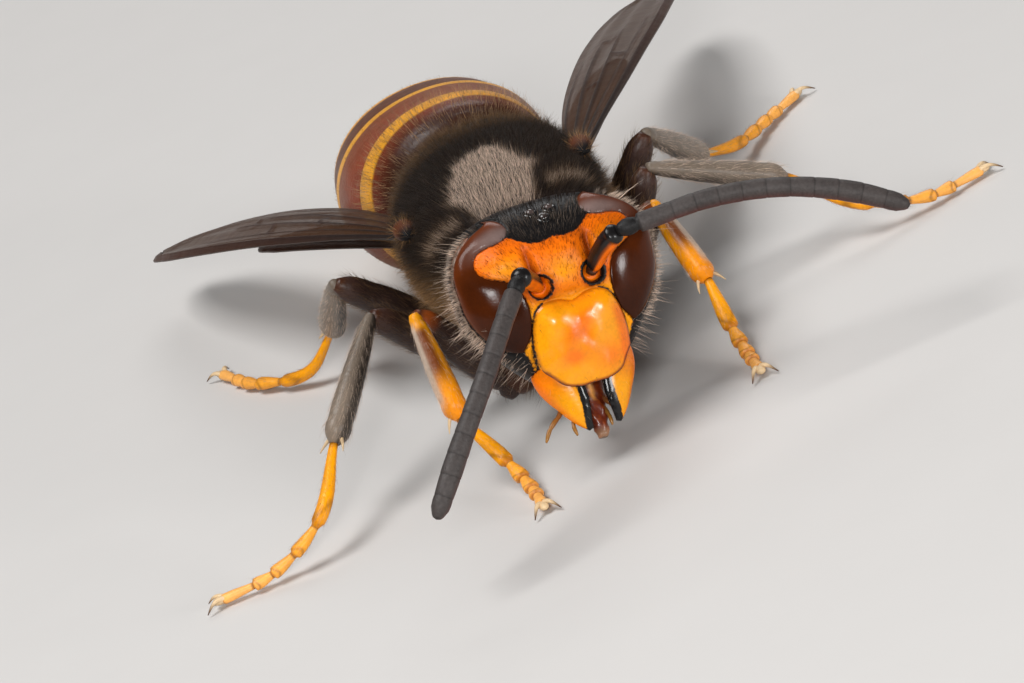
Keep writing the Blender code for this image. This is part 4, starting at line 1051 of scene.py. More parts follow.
def flagellum_shape(side):
    """Pedicel and eleven rings of a feeler, each ring a little swollen to its end."""
    at = [0.0, 0.012, 0.03, 0.05, 0.066, 0.074]
    swell = [0.55, 0.86, 1.0, 0.95, 0.78, 0.66]
    start = 0.078
    for ring in range(FLAGELLUM_RINGS):
        span = (1.0 - start) * (1.45 if ring == 0 else 0.955) / FLAGELLUM_RINGS
        low = start if ring == 0 else at[-1] + 0.0012
        for share, size in ((0.015, 0.955), (0.06, 0.976), (0.25, 0.985), (0.55, 0.992), (0.85, 1.0),
                            (0.95, 0.990), (0.985, 0.960)):
            at.append(low + span * share)
            swell.append(size)
    at = np.array(at)
    at = at / at[-1] * 0.995
    at = np.append(at, 1.0)
    swell = np.append(np.array(swell), 0.30)
    width = profile(FLAGELLUM_HALF_WIDTH, at) * swell
    path = along(FLAGELLUM_PATH[side], at)
    shape = limb(path, width, width, FEELER_SIDES, (0.2, 0.3, 1.0))
    groove = np.concatenate([np.repeat(swell, FEELER_SIDES), [0.9, 0.9]])
    place = np.concatenate([np.repeat(at, FEELER_SIDES), [0.0, 1.0]])
    shape.tone = mixed(colour("feeler") * 0.55, colour("feeler"), smoothstep(0.95, 0.978, groove))
    under = smoothstep(0.0, 0.9, -unit_rows(shape.points - shape.middle)[:, 2])
    shape.tint(colour("red") * 0.45, under * 0.6 * smoothstep(0.08, 0.2, place))
    shape.tint(colour("black"), falling(0.070, 0.082, place))
    shape.gloss = falling(0.070, 0.082, place)
    return shape


# Thorax, neck and waist


def oval_ring(half_width, up, down, sides, roundness):
    """Section across the body, with its own reach upwards and downwards."""
    angle = np.linspace(0.0, 2.0 * np.pi, sides, endpoint=False)
    c, s = np.cos(angle), np.sin(angle)
    power = 2.0 / roundness
    x = half_width * np.sign(c) * np.abs(c) ** power
    z = np.where(s > 0.0, up, down) * np.sign(s) * np.abs(s) ** power
    return np.stack([x, np.zeros(sides), z], axis=1)


def collar_line(wide):
    """Place along the body where the collar meets the middle plate."""
    return -2.55 + 1.45 * smoothstep(0.5, 2.3, wide)


def thorax_relief(x, y, upward):
    """Plates of the thorax, as movement outwards."""
    wide = np.abs(x)
    collar = collar_line(wide)
    rise = -0.10 * hump(y, collar, 0.14) * upward * smoothstep(1.1, 1.7, wide)
    rise -= 0.16 * hump(y, 1.42, 0.13) * upward
    rise -= 0.13 * hump(y, 2.30, 0.12) * upward
    rise += 0.10 * hump(y, 1.87, 0.30) * hump(wide, 0.55, 0.55) * upward
    rise -= 0.07 * hump(x, 0.0, 0.10) * hump(y, 1.87, 0.32) * upward
    rise -= (0.035 * hump(x, 0.0, 0.06) * smoothstep(-2.4, -2.0, y)
             * falling(-0.9, -0.2, y) * upward)
    rise -= (0.03 * hump(wide, 1.05, 0.08) * smoothstep(-0.8, -0.2, y)
             * falling(1.1, 1.35, y) * upward)
    flank = 1.0 - upward
    rise -= 0.10 * hump(y, -1.55, 0.12) * flank
    rise -= 0.10 * hump(y, 0.95, 0.13) * flank
    rise += 0.06 * hump(y, -0.30, 0.70) * flank
    return rise


def thorax_shape():
    """Skin of the thorax with its plates, set in by part of the coat's depth."""
    stations = np.linspace(THORAX_STATIONS[0], THORAX_STATIONS[-1], THORAX_ROWS)
    width = through(THORAX_STATIONS, THORAX_HALF_WIDTH, stations)
    top = through(THORAX_STATIONS, THORAX_TOP, stations)
    bottom = through(THORAX_STATIONS, THORAX_BOTTOM, stations)
    inset = sizes().skin_inset / MM
    rings = []
    for y, w, t, b in zip(stations, width, top, bottom):
        ring = oval_ring(w - inset, t - inset, b - inset, THORAX_SIDES, THORAX_ROUNDNESS)
        upward = smoothstep(0.1, 0.8, ring[:, 2] / t)
        rise = thorax_relief(ring[:, 0], np.full(THORAX_SIDES, y), upward)
        reach = np.linalg.norm(ring, axis=1)
        rings.append(ring * (1.0 + rise / np.maximum(reach, 0.3))[:, None] + [0.0, y, 0.0])
    shape = ring_shape(rings)
    local = shape.points.copy()
    normal = shape.normals()
    x, y, z = local[:, 0], local[:, 1], local[:, 2]
    wide = np.abs(x)
    up = smoothstep(0.0, 1.2, z)
    black, brown = colour("black"), colour("brown")
    shape.tone = mixed(black * 1.2, brown * 0.6, 0.5 * (1.0 - up))
    neck = falling(-0.1, 0.1, y - collar_line(wide))
    shape.tint(brown * 0.15 + black, neck * 0.6)
    # Pale hair colour of the combed patch and of the strip at its side is painted sheen: the silky pile there
    # is brown and only shines pale under the lamps
    ragged = 0.05 * np.sin(x * 5.0) + 0.04 * np.sin(x * 13.0 + y * 3.0)
    pale = smoothstep(-0.08, 0.08, profile(PATCH_EDGE, y) + ragged - wide) * smoothstep(0.3, 0.7, z)
    strip = hump(y, -3.05 + 0.60 * (wide - 1.1), 0.13) * smoothstep(1.0, 1.2, wide)
    strip *= falling(2.0, 2.2, wide)
    pale = np.maximum(pale, 0.65 * strip * smoothstep(0.2, 0.6, z))
    shape.hair_tone = mixed(colour("brown_hair"), colour("pale_hair"), pale)
    dark = smoothstep(-0.2, 0.9, z + 0.35 * (y < -0.8)) * (1.0 - pale)
    dark *= 1.0 - 0.35 * smoothstep(0.2, 1.4, y)
    shape.hair_tone = mixed(shape.hair_tone, colour("dark_hair"), 0.97 * dark)
    edge = smoothstep(-3.70, -3.62, y) * falling(3.45, 3.65, y)
    middle_back = up * (1.0 - pale) * falling(1.2, 2.2, wide) * falling(1.2, 2.2, y)
    shape.fuzz = (0.62 + 0.38 * pale - 0.16 * middle_back) * edge
    shape.pile = 0.76 - 0.20 * pale - 0.22 * up
    shape.stray = edge * smoothstep(0.5, 1.2, z) * falling(0.5, 1.5, y) * (1.0 - 0.8 * pale)
    back = unit_rows(np.stack([x * 0.25, np.ones(len(x)), z * 0.05], axis=1))
    combed = np.array(PATCH_COMB)
    sweep = mixed(back * 0.85, combed, pale) + 0.25 * (1.0 - up)[:, None] * np.array([0.0, 0.0, -1.0])
    sweep = unit_rows(sweep - normal * np.einsum("ij,ij->i", sweep, normal)[:, None])
    sweep = sweep + normal * (0.70 - 0.36 * pale)[:, None]
    shape.lie = unit_rows(sweep @ THORAX_MATRIX.T)
    shape.points = from_thorax(local)
    return shape


def joint_shape(start, end, half_width, half_depth):
    """Short ringed stalk between two parts of the body."""
    at = np.linspace(0.0, 1.0, 24)
    path = start + (end - start) * at[:, None]
    beat = 1.0 + 0.05 * np.sin(at * np.pi * 10.0)
    shape = limb(path, half_width * beat, half_depth * beat, 40, (0.0, 0.0, 1.0))
    shape.tone[:] = colour("black") * 1.3
    return shape


# Gaster


def gaster_ring(y, step):
    """Section of the gaster at a station."""
    width = through(GASTER_STATIONS, GASTER_HALF_WIDTH, y) + step
    height = through(GASTER_STATIONS, GASTER_HALF_HEIGHT, y) + step
    middle = through(GASTER_STATIONS, GASTER_CENTRE_Z, y)
    aside = GASTER_BEND[0] * smoothstep(GASTER_STATIONS[0], GASTER_BEND[1], y)
    return oval_ring(width, height, height, GASTER_SIDES, GASTER_ROUNDNESS) + [aside, y, middle]


def gaster_shape(number):
    """One plate ring of the gaster; its hind edge stands over the start of the next."""
    last = number == GASTER_PLATES - 1
    start = GASTER_EDGES[number] - (GASTER_LAP if number else 0.0)
    end = GASTER_EDGES[number + 1]
    at = np.linspace(0.0, 1.0, GASTER_ROWS)
    if number == 0:
        at = at**1.3
    if last:
        at = 1.0 - (1.0 - at) ** 1.35
    rings = []
    places = []
    for a in at:
        y = start + (end - start) * a
        step = -0.045 + 0.075 * smoothstep(0.15, 0.97, a)
        step -= 0.05 * hump(y, GASTER_EDGES[number] + 0.08, 0.10) if number else 0.0
        rings.append(gaster_ring(y, -0.045 if last else step))
        places.append(y)
    if not last:
        for back, step in ((0.0, -0.05), (-0.10, -0.07), (-0.35, -0.11)):
            rings.append(gaster_ring(end + back, step))
            places.append(end + back)
    shape = ring_shape(rings)
    normal = shape.normals()
    y = np.concatenate([np.repeat(places, GASTER_SIDES), [start, end]])
    local = shape.points
    middle = through(GASTER_STATIONS, GASTER_CENTRE_Z, y)
    height = (local[:, 2] - middle) / through(GASTER_STATIONS, GASTER_HALF_HEIGHT, y)
    side = local[:, 0] / through(GASTER_STATIONS, GASTER_HALF_WIDTH, y)
    brown, amber, red, orange = colour("brown"), colour("amber"), colour("red"), colour("orange")
    count = len(local)
    from_end = end - y
    if number == 0:
        band = falling(0.80, 0.95, from_end)
        tone = mixed(brown * 0.55, red * 0.5 + brown + orange * 0.03, smoothstep(5.0, 5.9, y) * 0.8)
    elif number == 1:
        wave = 0.44 + 0.10 * np.abs(side)
        band = falling(-0.06, 0.06, from_end - wave)
        tone = mixed(brown * 2.2 + orange * 0.10, red * 0.9 + orange * 0.08,
                     0.55 * falling(7.2, 9.2, y))
    elif number == 2:
        wave = 0.50 + 0.20 * np.abs(side)
        band = falling(-0.06, 0.06, from_end - wave)
        tone = brown * 1.6 + orange * 0.03
    elif number == 3:
        wave = 1.35 - 0.45 * hump(side, 0.0, 0.35) + 0.1 * np.abs(side)
        band = falling(-0.08, 0.08, from_end - wave)
        tone = brown * 0.8
    else:
        band = np.full(count, 0.55 if number == 4 else 0.35)
        tone = brown * 1.3 + red * 0.15
    shape.tone = mixed(tone, amber, band)
    under = falling(-0.75, -0.35, height)
    shape.tint(amber * 0.45 + brown * 0.55, under * 0.5)
    shape.gloss = 1.0 - band * 0.5
    visible = (y > GASTER_EDGES[number] + 0.1 * (number > 0)) & (y < end - 0.03)
    shape.fuzz = np.where(visible, 0.55 if number else 1.0, 0.0)
    shape.pile = np.full(count, 0.34 if number else 0.75)
    shape.pile = shape.pile * (0.8 + 0.4 * last)
    golden = colour("brown_hair") * (0.45 + 0.35 * (number == 0)) + colour("pale_hair") * 0.12
    shape.hair_tone[:] = golden
    shape.lie = unit_rows(normal * (0.42 if number else 0.8) + np.array([0.0, 1.0, -0.08]))
    return shape


# Wings


def wing_shape(side, length, half_width, veins, drop):
    """Wing laid back at rest: a pleated film with veins raised in it."""
    sign = SIGN[side]
    splay = np.radians(WING_SPLAY[side])
    tilt = np.radians(WING_TILT)
    inward = HINDWING_INWARD if drop else 0.0
    root = (np.array(WING_ROOT) - [inward, 0.0, drop]) * [sign, 1.0, 1.0]
    at = np.linspace(0.0, 1.0, WING_ROWS) ** 0.95
    ahead = np.array([sign * np.sin(splay), np.cos(splay), 0.0])
    outward = np.array([sign * np.cos(splay), -np.sin(splay), 0.0])
    across = outward * np.cos(tilt) - np.array([0.0, 0.0, np.sin(tilt)])
    normal = outward * np.sin(tilt) + np.array([0.0, 0.0, np.cos(tilt)])
    thick = sizes().film_thickness / MM
    lanes = np.linspace(-1.0, 1.0, WING_LANES)
    rings = []
    marks = []
    for a in at:
        wide = float(profile(half_width, a))
        middle = root + ahead * length * a
        middle = middle - [0.0, 0.0, WING_DROOP[side] * (length / FOREWING_LENGTH) ** 1.4 * a**1.4]
        arch = 0.10 * wide * (1.0 - lanes**2)
        pleat = 0.035 * np.cos(lanes * np.pi * 3.2 + a * 2.0) * smoothstep(0.05, 0.3, a)
        vein = np.zeros(len(lanes))
        for number, place in enumerate(veins):
            wander = place + 0.05 * np.sin(a * 6.0 + number * 1.7) * (number > 0)
            reach = 0.97 if number == 0 else 0.80 - 0.06 * number
            fade = falling(reach - 0.08, reach, a)
            strength = 1.0 if number == 0 else 0.75
            vein = np.maximum(vein, hump(lanes, wander, 0.040 / max(wide, 0.3)) * fade * strength)
        for start, lane in ((0.30, 0.10), (0.46, -0.30), (0.60, 0.20)):
            cross = hump(a, start + 0.04 * (lanes - lane), 0.006) * (np.abs(lanes - lane) < 0.22)
            vein = np.maximum(vein, 0.8 * cross)
        height = arch + pleat
        body = thick / 2 + 0.055 * vein
        over = [middle - across * wide * x + normal * (h + t) for x, h, t in zip(lanes, height, body)]
        under = [middle - across * wide * x + normal * (h - t) for x, h, t in zip(lanes, height, body)]
        row = over + under[::-1]
        mark = np.concatenate([vein, vein[::-1]])
        rings.append(row)
        marks.append(mark)
    shape = ring_shape(rings)
    mark = np.concatenate([np.concatenate(marks), [0.0, 0.0]])
    place = np.concatenate([np.repeat(at, len(lanes) * 2), [0.0, 1.0]])
    lane = np.concatenate([np.tile(np.concatenate([lanes, lanes[::-1]]), len(at)), [0.0, 0.0]])
    costal = falling(0.10, 0.26, lane + 1.0)
    vein_tone = mixed(colour("black") * 2.0, colour("brown"), place)
    shape.tone = mixed(colour("film"), vein_tone, np.clip(mark * 1.4, 0.0, 1.0))
    shape.tint(vein_tone, costal * 0.8)
    shape.gloss = np.clip(np.maximum(mark, costal * 0.85), 0.0, 1.0)
    return shape


def tegula_shape(side):
    """Small domed scale over the wing's root."""
    ball, faces, uvs = cube_ball(20)
    middle = np.array(TEGULA_CENTRE) * [SIGN[side], 1.0, 1.0]
    shape = Shape(middle + ball * TEGULA_HALF_SIZES, faces, uvs)
    shape.tone = mixed(colour("brown") * 1.6, colour("black"), smoothstep(0.2, 0.9, np.abs(ball[:, 1])))
    shape.fuzz[:] = 0.8
    shape.pile[:] = 0.4
    shape.hair_tone[:] = colour("brown_hair")
    shape.lie = unit_rows(ball + [0.0, 0.9, 0.0])
    return shape


# Legs


def leg_tones(name, joint):
    """Base and end colours of one joint of a leg."""
    black, brown, yellow = colour("black"), colour("brown"), colour("yellow")
    orange, claw = colour("orange"), colour("claw")
    fore = name.startswith("front")
    grey = np.array([0.16, 0.125, 0.095])
    table = {
        "coxa": (black * 1.2, brown * 0.8),
        "femur": (brown * 0.30 + black * 1.8, brown * 0.55 + black * 2.0),
        "tibia": (yellow * 0.95, yellow * 0.6 + orange * 0.35) if fore else (grey, grey * 1.3),
        "tarsus": (yellow, yellow * 0.75 + claw * 0.35),
    }
    start, end = table[joint]
    if joint == "femur" and fore:
        end = brown * 0.8 + orange * 0.22
    return start, end


def leg_shapes(name, points):
    """Coxa, trochanter, femur, tibia with spurs, five-jointed foot, pad and claws of one leg."""
    root, hip, knee, ankle = (np.array(p) for p in points[:4])
    fore = name.startswith("front")
    shapes = []
    at = np.linspace(0.0, 1.0, 26)
    width = profile(COXA_HALF_WIDTH, at)
    coxa = limb(root + (hip - root) * at[:, None], width, width * 0.9, 28, (0.0, 1.0, 0.2))
    start, end = leg_tones(name, "coxa")
    coxa.tone = mixed(start, end, smoothstep(0.25, 0.95, coxa.at))
    shapes.append(coxa)

    at = np.linspace(0.0, 1.0, 60)
    width = profile(FEMUR_HALF_WIDTH, at)
    width *= 1.0 - 0.18 * hump(at, 0.115, 0.020)
    bow = unit_rows(np.cross(knee - hip, np.cross(knee - hip, [0.0, 0.0, -1.0]))[None])[0]
    path = hip + (knee - hip) * at[:, None] + bow * (0.04 * np.sin(np.pi * at))[:, None]
    femur = limb(path, width, width * 0.85, LEG_SIDES, (0.0, 1.0, 0.2))
    start, end = leg_tones(name, "femur")
    femur.tone = mixed(start, end, smoothstep(0.80, 0.93, femur.at))
    knee_ring = hump(femur.at, 0.985, 0.02)
    femur.tint(colour("brown"), knee_ring)
    shapes.append(femur)

    width = profile(TIBIA_HALF_WIDTH, at)
    width *= 1.0 - 0.12 * hump(at, 0.085, 0.025)
    path = knee + (ankle - knee) * at[:, None]
    tibia = limb(path, width, width * 0.85, LEG_SIDES, (1.0, 0.2, 0.3))
    start, end = leg_tones(name, "tibia")
    tibia.tone = mixed(start, end, smoothstep(0.3, 1.0, tibia.at))
    offset = unit_rows(tibia.points - tibia.middle)
    outward = offset @ unit_rows(np.array([[np.sign(hip[0]), 0.0, 0.45]]))[0]
    if fore:
        side = np.sign(hip[0])
        streak = smoothstep(0.35, 0.80, offset @ np.array([side * 0.45, -0.75, 0.48]))
        streak *= smoothstep(0.10, 0.20, tibia.at) * falling(0.50, 0.80, tibia.at)
        tibia.tint(colour("brown") * 0.8 + colour("red") * 0.3, streak * 0.92)
        rim = smoothstep(0.70, 0.93, offset @ np.array([side * 0.86, -0.22, 0.46]))
        rim *= smoothstep(0.05, 0.15, tibia.at) * falling(0.75, 0.95, tibia.at)
        tibia.tint(np.array([0.55, 0.45, 0.36]), rim * 0.8)
    else:
        tibia.tint(colour("black") * 1.6, smoothstep(-0.1, 0.5, -outward) * 0.8)
    shapes.append(tibia)

    down = (ankle - knee) / np.linalg.norm(ankle - knee)
    hind = np.cross(down, [0.0, 0.0, 1.0])
    hind /= np.linalg.norm(hind)
    short = np.linspace(0.0, 1.0, 14)
    for sign in (-1.0, 1.0):
        line = (ankle - down * 0.22 + hind * sign * 0.14
                + (down * 0.88 + hind * sign * 0.45)[None] * (0.52 * short)[:, None])
        line += hind * sign * (0.03 * np.sin(np.pi * short))[:, None]
        radius = SPUR_RADIUS * (1.0 - 0.85 * short**1.5)
        spur = limb(line, radius, radius, 10, (0.2, 0.3, 1.0))
        spur.tone[:] = colour("claw") * 0.8
        shapes.append(spur)

    foot = [ankle, *[np.array(p) for p in points[4:]]]
    start, end = leg_tones(name, "tarsus")
    for k in range(5):
        low, high = TARSUS_JOINTS[k], TARSUS_JOINTS[k + 1]
        span = high - low
        at = low + span * np.linspace(0.0, 1.02 if k < 4 else 0.97, 24)
        share = np.linspace(0.0, 1.0, 24)
        top = TARSUS_HALF_WIDTH[k] * (0.92 - 0.08 * k / 4)
        width = TARSUS_START + (top - TARSUS_START) * smoothstep(0.0, 0.80, share) ** 0.8
        width *= 1.0 - 0.5 * smoothstep(0.9, 1.0, share)
        if k == 4:
            width *= 0.92
        joint = limb(along(foot, at), width, width * 0.82, 22, (0.0, 0.0, 1.0))
        joint.points[:, 2] = np.maximum(joint.points[:, 2], 0.0)
        tone = mixed(start, end, np.full(len(joint.points), k / 4.0))
        cap = smoothstep(0.86, 0.97, joint.at) * (0.55 if fore else 0.35)
        tone = mixed(tone, colour("red") * 0.9, cap)
        joint.tone = mixed(tone, colour("brown"), falling(0.0, 0.10, joint.at) * 0.7)
        if k < 4:
            v_mark = hump(joint.at, 0.80 - 0.10 * np.cos(joint.angle * 2.0), 0.05) * 0.55
            joint.tint(colour("brown") * 1.4, v_mark)
        shapes.append(joint)
    for shape in shapes:
        normal = shape.normals()
        shape.lie = unit_rows(normal * 0.55 + shape.flow * 0.95)
        shape.fuzz = np.where((shape.at > 0.06) & (shape.at < 0.95), 0.75, 0.0)
        shape.fuzz *= smoothstep(0.28, 0.42, shape.points[:, 2])
        shape.pile[:] = 0.26
        shape.hair_tone[:] = colour("pale_hair") * 0.5
    for thigh in (coxa, femur):
        thigh.pile[:] = 0.42
        thigh.fuzz *= 0.8
        thigh.hair_tone[:] = colour("brown_hair") * 0.5
    if fore:
        for yellowish in shapes[2:]:
            yellowish.hair_tone[:] = colour("pale_hair") * 0.9
            yellowish.fuzz *= 0.7
    else:
        tibia.pile[:] = 0.34
        tibia.hair_tone[:] = colour("pale_hair") * 0.9
    shapes += claw_shapes(foot)
    return shapes


def claw_shapes(foot):
    """Pair of hooked claws with the soft pad between them."""
    tip = along(foot, np.array([0.97]))[0]
    ahead = tip - along(foot, np.array([0.85]))[0]
    ahead[2] = 0.0
    ahead /= np.linalg.norm(ahead)
    across = np.array([-ahead[1], ahead[0], 0.0])
    at = np.linspace(0.0, 1.0, 20)
    shapes = []
    for sign in (-1.0, 1.0):
        reach = CLAW_LENGTH * at
        line = tip + ahead[None] * reach[:, None]
        line = line + across[None] * (sign * (0.05 + 0.30 * at**1.3))[:, None]
        line[:, 2] = 0.20 + 0.12 * np.sin(np.pi * at) - 0.12 * at
        radius = 0.085 * (1.0 - 0.85 * at**1.4)
        claw = limb(line, radius, radius * 0.8, 14, (0.0, 0.0, 1.0))
        claw.tone = mixed(colour("claw"), colour("brown"), smoothstep(0.45, 1.0, claw.at))
        claw.points[:, 2] = np.maximum(claw.points[:, 2], 0.0)
        shapes.append(claw)
    ball, faces, uvs = cube_ball(10)
    pad_points = tip + ahead * 0.16 + (ball[:, :1] * across * 0.13 + ball[:, 1:2] * ahead * 0.20
                                       + ball[:, 2:] * [0.0, 0.0, 0.10])
    pad_points[:, 2] = np.maximum(pad_points[:, 2], 0.0)
    pad = Shape(pad_points, faces, uvs)
    pad.tone[:] = colour("claw") * 0.9
    shapes.append(pad)
    return shapes


# Coat


def new_node(tree, kind, inputs=None, **settings):
    """Adds a node, sets its options and fills or links its inputs."""
    node = tree.nodes.new(kind)
    for option, value in settings.items():
        setattr(node, option, value)
    for key, value in (inputs or {}).items():
        if isinstance(value, bpy.types.NodeSocket):
            tree.links.new(value, node.inputs[key])
        else:
            node.inputs[key].default_value = value
    return node


def maths(tree, operation, *values):
    """One sum on numbers, as a node's output."""
    return new_node(tree, "ShaderNodeMath", dict(enumerate(values)), operation=operation).outputs[0]


def vector_maths(tree, operation, first, second):
    """One sum on two vectors, as a node's output."""
    return new_node(tree, "ShaderNodeVectorMath", {0: first, 1: second}, operation=operation).outputs[0]


def scaled(tree, vector, amount):
    """A vector or a colour times a number, as a node's output."""
    return new_node(tree, "ShaderNodeVectorMath", {0: vector, "Scale": amount}, operation="SCALE").outputs[0]


def bristle_tree():
    """Sets tapered, bent hairs over a skin; density, length, thickness and lie are inputs."""
    known = bpy.data.node_groups.get("bristles")
    if known:
        return known
    tree = bpy.data.node_groups.new("bristles", "GeometryNodeTree")
    face = tree.interface
    face.new_socket("Skin", in_out="INPUT", socket_type="NodeSocketGeometry")
    for name, kind in (("Density", "Float"), ("Where", "String"), ("Length", "Float"), ("Thickness", "Float"),
                       ("Bend", "Float"), ("Spread", "Float"), ("Segments", "Int"), ("Seed", "Int"),
                       ("Hair", "Material")):
        face.new_socket(name, in_out="INPUT", socket_type=f"NodeSocket{kind}")
    face.new_socket("Coat", in_out="OUTPUT", socket_type="NodeSocketGeometry")
    given = new_node(tree, "NodeGroupInput").outputs

    def named(name, kind):
        return new_node(tree, "GeometryNodeInputNamedAttribute", {"Name": name},
                        data_type=kind).outputs["Attribute"]

    density = maths(tree, "MULTIPLY", given["Density"], named(given["Where"], "FLOAT"))
    spots = new_node(tree, "GeometryNodeDistributePointsOnFaces",
                     {"Mesh": given["Skin"], "Density": density, "Seed": given["Seed"]})
    shade = new_node(tree, "FunctionNodeRandomValue", {2: 0.0, 3: 1.0, "Seed": SHADE_SEED},
                     data_type="FLOAT")
    roots = new_node(tree, "GeometryNodeStoreNamedAttribute",
                     {"Geometry": spots.outputs["Points"], "Name": "shade", "Value": shade.outputs[1]},
                     data_type="FLOAT", domain="POINT")

    cone = new_node(tree, "GeometryNodeMeshCone",
                    {"Vertices": 3, "Side Segments": given["Segments"], "Radius Top": 0.0,
                     "Radius Bottom": given["Thickness"], "Depth": given["Length"]}, fill_type="NGON")
    spot = new_node(tree, "GeometryNodeInputPosition").outputs[0]
    split = new_node(tree, "ShaderNodeSeparateXYZ", {0: spot}).outputs
    rise = maths(tree, "DIVIDE", split["Z"], given["Length"])
    sideways = maths(tree, "DIVIDE", split["X"], given["Thickness"])
    swing = maths(tree, "ADD", maths(tree, "MULTIPLY", sideways, 0.5), 0.5)
    patch = new_node(tree, "ShaderNodeCombineXYZ", {"X": swing, "Y": rise}).outputs[0]
    marked = new_node(tree, "GeometryNodeStoreNamedAttribute",
                      {"Geometry": cone.outputs["Mesh"], "Name": "patch", "Value": patch},
                      data_type="FLOAT_VECTOR", domain="POINT")
    squared = maths(tree, "MULTIPLY", rise, rise)
    fall = maths(tree, "MULTIPLY", squared, maths(tree, "MULTIPLY", given["Bend"], given["Length"]))
    away = new_node(tree, "ShaderNodeCombineXYZ", {"X": fall}).outputs[0]
    strand = new_node(tree, "GeometryNodeSetPosition",
                      {"Geometry": marked.outputs[0], "Offset": away})

    scatter = new_node(tree, "FunctionNodeRandomValue",
                       {0: (-1.0, -1.0, -1.0), 1: (1.0, 1.0, 1.0), "Seed": LEAN_SEED},
                       data_type="FLOAT_VECTOR")
    stray = scaled(tree, scatter.outputs[0], given["Spread"])
    lean = vector_maths(tree, "ADD", named("lie", "FLOAT_VECTOR"), stray)
    aim = new_node(tree, "FunctionNodeAxesToRotation",
                   {"Primary Axis": lean, "Secondary Axis": spots.outputs["Normal"]},
                   primary_axis="Z", secondary_axis="X")
    smallest, largest = HAIR_SIZE_RANGE
    size = new_node(tree, "FunctionNodeRandomValue", {2: smallest, 3: largest, "Seed": SIZE_SEED},
                    data_type="FLOAT")
    scale = maths(tree, "MULTIPLY", size.outputs[1], named("pile", "FLOAT"))
    planted = new_node(tree, "GeometryNodeInstanceOnPoints",
                       {"Points": roots.outputs[0], "Instance": strand.outputs[0],
                        "Rotation": aim.outputs[0], "Scale": scale})
    real = new_node(tree, "GeometryNodeRealizeInstances", {"Geometry": planted.outputs[0]})
    tile = scaled(tree, named("patch", "FLOAT_VECTOR"), BAKE_PATCH)
    root_place = vector_maths(tree, "MINIMUM", named("Unwrap", "FLOAT_VECTOR"), (BAKE_LIMIT,) * 3)
    place = vector_maths(tree, "ADD", root_place, tile)
    unwrapped = new_node(tree, "GeometryNodeStoreNamedAttribute",
                         {"Geometry": real.outputs[0], "Name": "OFBake", "Value": place},
                         data_type="FLOAT2", domain="CORNER")
    cleared = unwrapped.outputs[0]
    for name in ("patch", "Unwrap", "lie", "fuzz", "stray", "pile", "tone", "dark_edge", "gloss"):
        cleared = new_node(tree, "GeometryNodeRemoveAttribute",
                           {"Geometry": cleared, "Name": name}).outputs[0]
    finished = new_node(tree, "GeometryNodeSetMaterial", {"Geometry": cleared, "Material": given["Hair"]})
    new_node(tree, "NodeGroupOutput", {0: finished.outputs[0]})
    return tree


def coat_piece(name, skin, values):
    """Grows one coat over a skin object and keeps it as a plain mesh piece."""
    tree = bristle_tree()
    base = placed(name + "_base", skin.data)
    modifier = base.modifiers.new("bristles", "NODES")
    modifier.node_group = tree
    settings = {**PLAIN_HAIR, "Thickness": sizes().hair_thickness, "Length": sizes().coat_length,
                "Seed": sizes().coat_seed, "Hair": hair_finish(), **values}
    settings["Density"] = settings["Density"] * PER_SQUARE_METRE * sizes().coat_density
    for socket in tree.interface.items_tree:
        if socket.in_out == "INPUT" and socket.name in settings:
            modifier[socket.identifier] = settings[socket.name]
    bpy.context.view_layer.update()
    graph = bpy.context.evaluated_depsgraph_get()
    mesh = bpy.data.meshes.new_from_object(base.evaluated_get(graph), depsgraph=graph)
    mesh.name = name
    base.modifiers.clear()
    bpy.data.objects.remove(base)
    mesh.shade_smooth()
    if "OFBake" in mesh.uv_layers:
        mesh.uv_layers.active = mesh.uv_layers["OFBake"]
    if len(mesh.polygons) == 0:
        raise RuntimeError(f"{name} grew no hairs")
    thing = placed(name, mesh)
    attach(thing, "root")
    return thing


# Finishes


def effect_group(name, inputs, outputs):
    """New shader node group with named sockets; returns the tree and its input sockets."""
    tree = bpy.data.node_groups.new(name, "ShaderNodeTree")
    for label, kind, value in inputs:
        socket = tree.interface.new_socket(label, in_out="INPUT", socket_type=f"NodeSocket{kind}")
        if value is not None:
            socket.default_value = value
    for label, kind in outputs:
        tree.interface.new_socket(label, in_out="OUTPUT", socket_type=f"NodeSocket{kind}")
    return tree, new_node(tree, "NodeGroupInput").outputs


def noise(tree, place, scale, detail):
    """Value of a noise texture at a place."""
    return new_node(tree, "ShaderNodeTexNoise",
                    {"Vector": place, "Scale": scale, "Detail": detail}).outputs["Fac"]


def painted(tree, name, output="Fac"):
    """One of the values kept on a mesh."""
    return new_node(tree, "ShaderNodeAttribute", attribute_name=name).outputs[output]


def blank_material(name):
    """New material, with its node tree and its shader."""
    material = bpy.data.materials.new(name)
    material.use_nodes = True
    return material, material.node_tree, material.node_tree.nodes["Principled BSDF"]


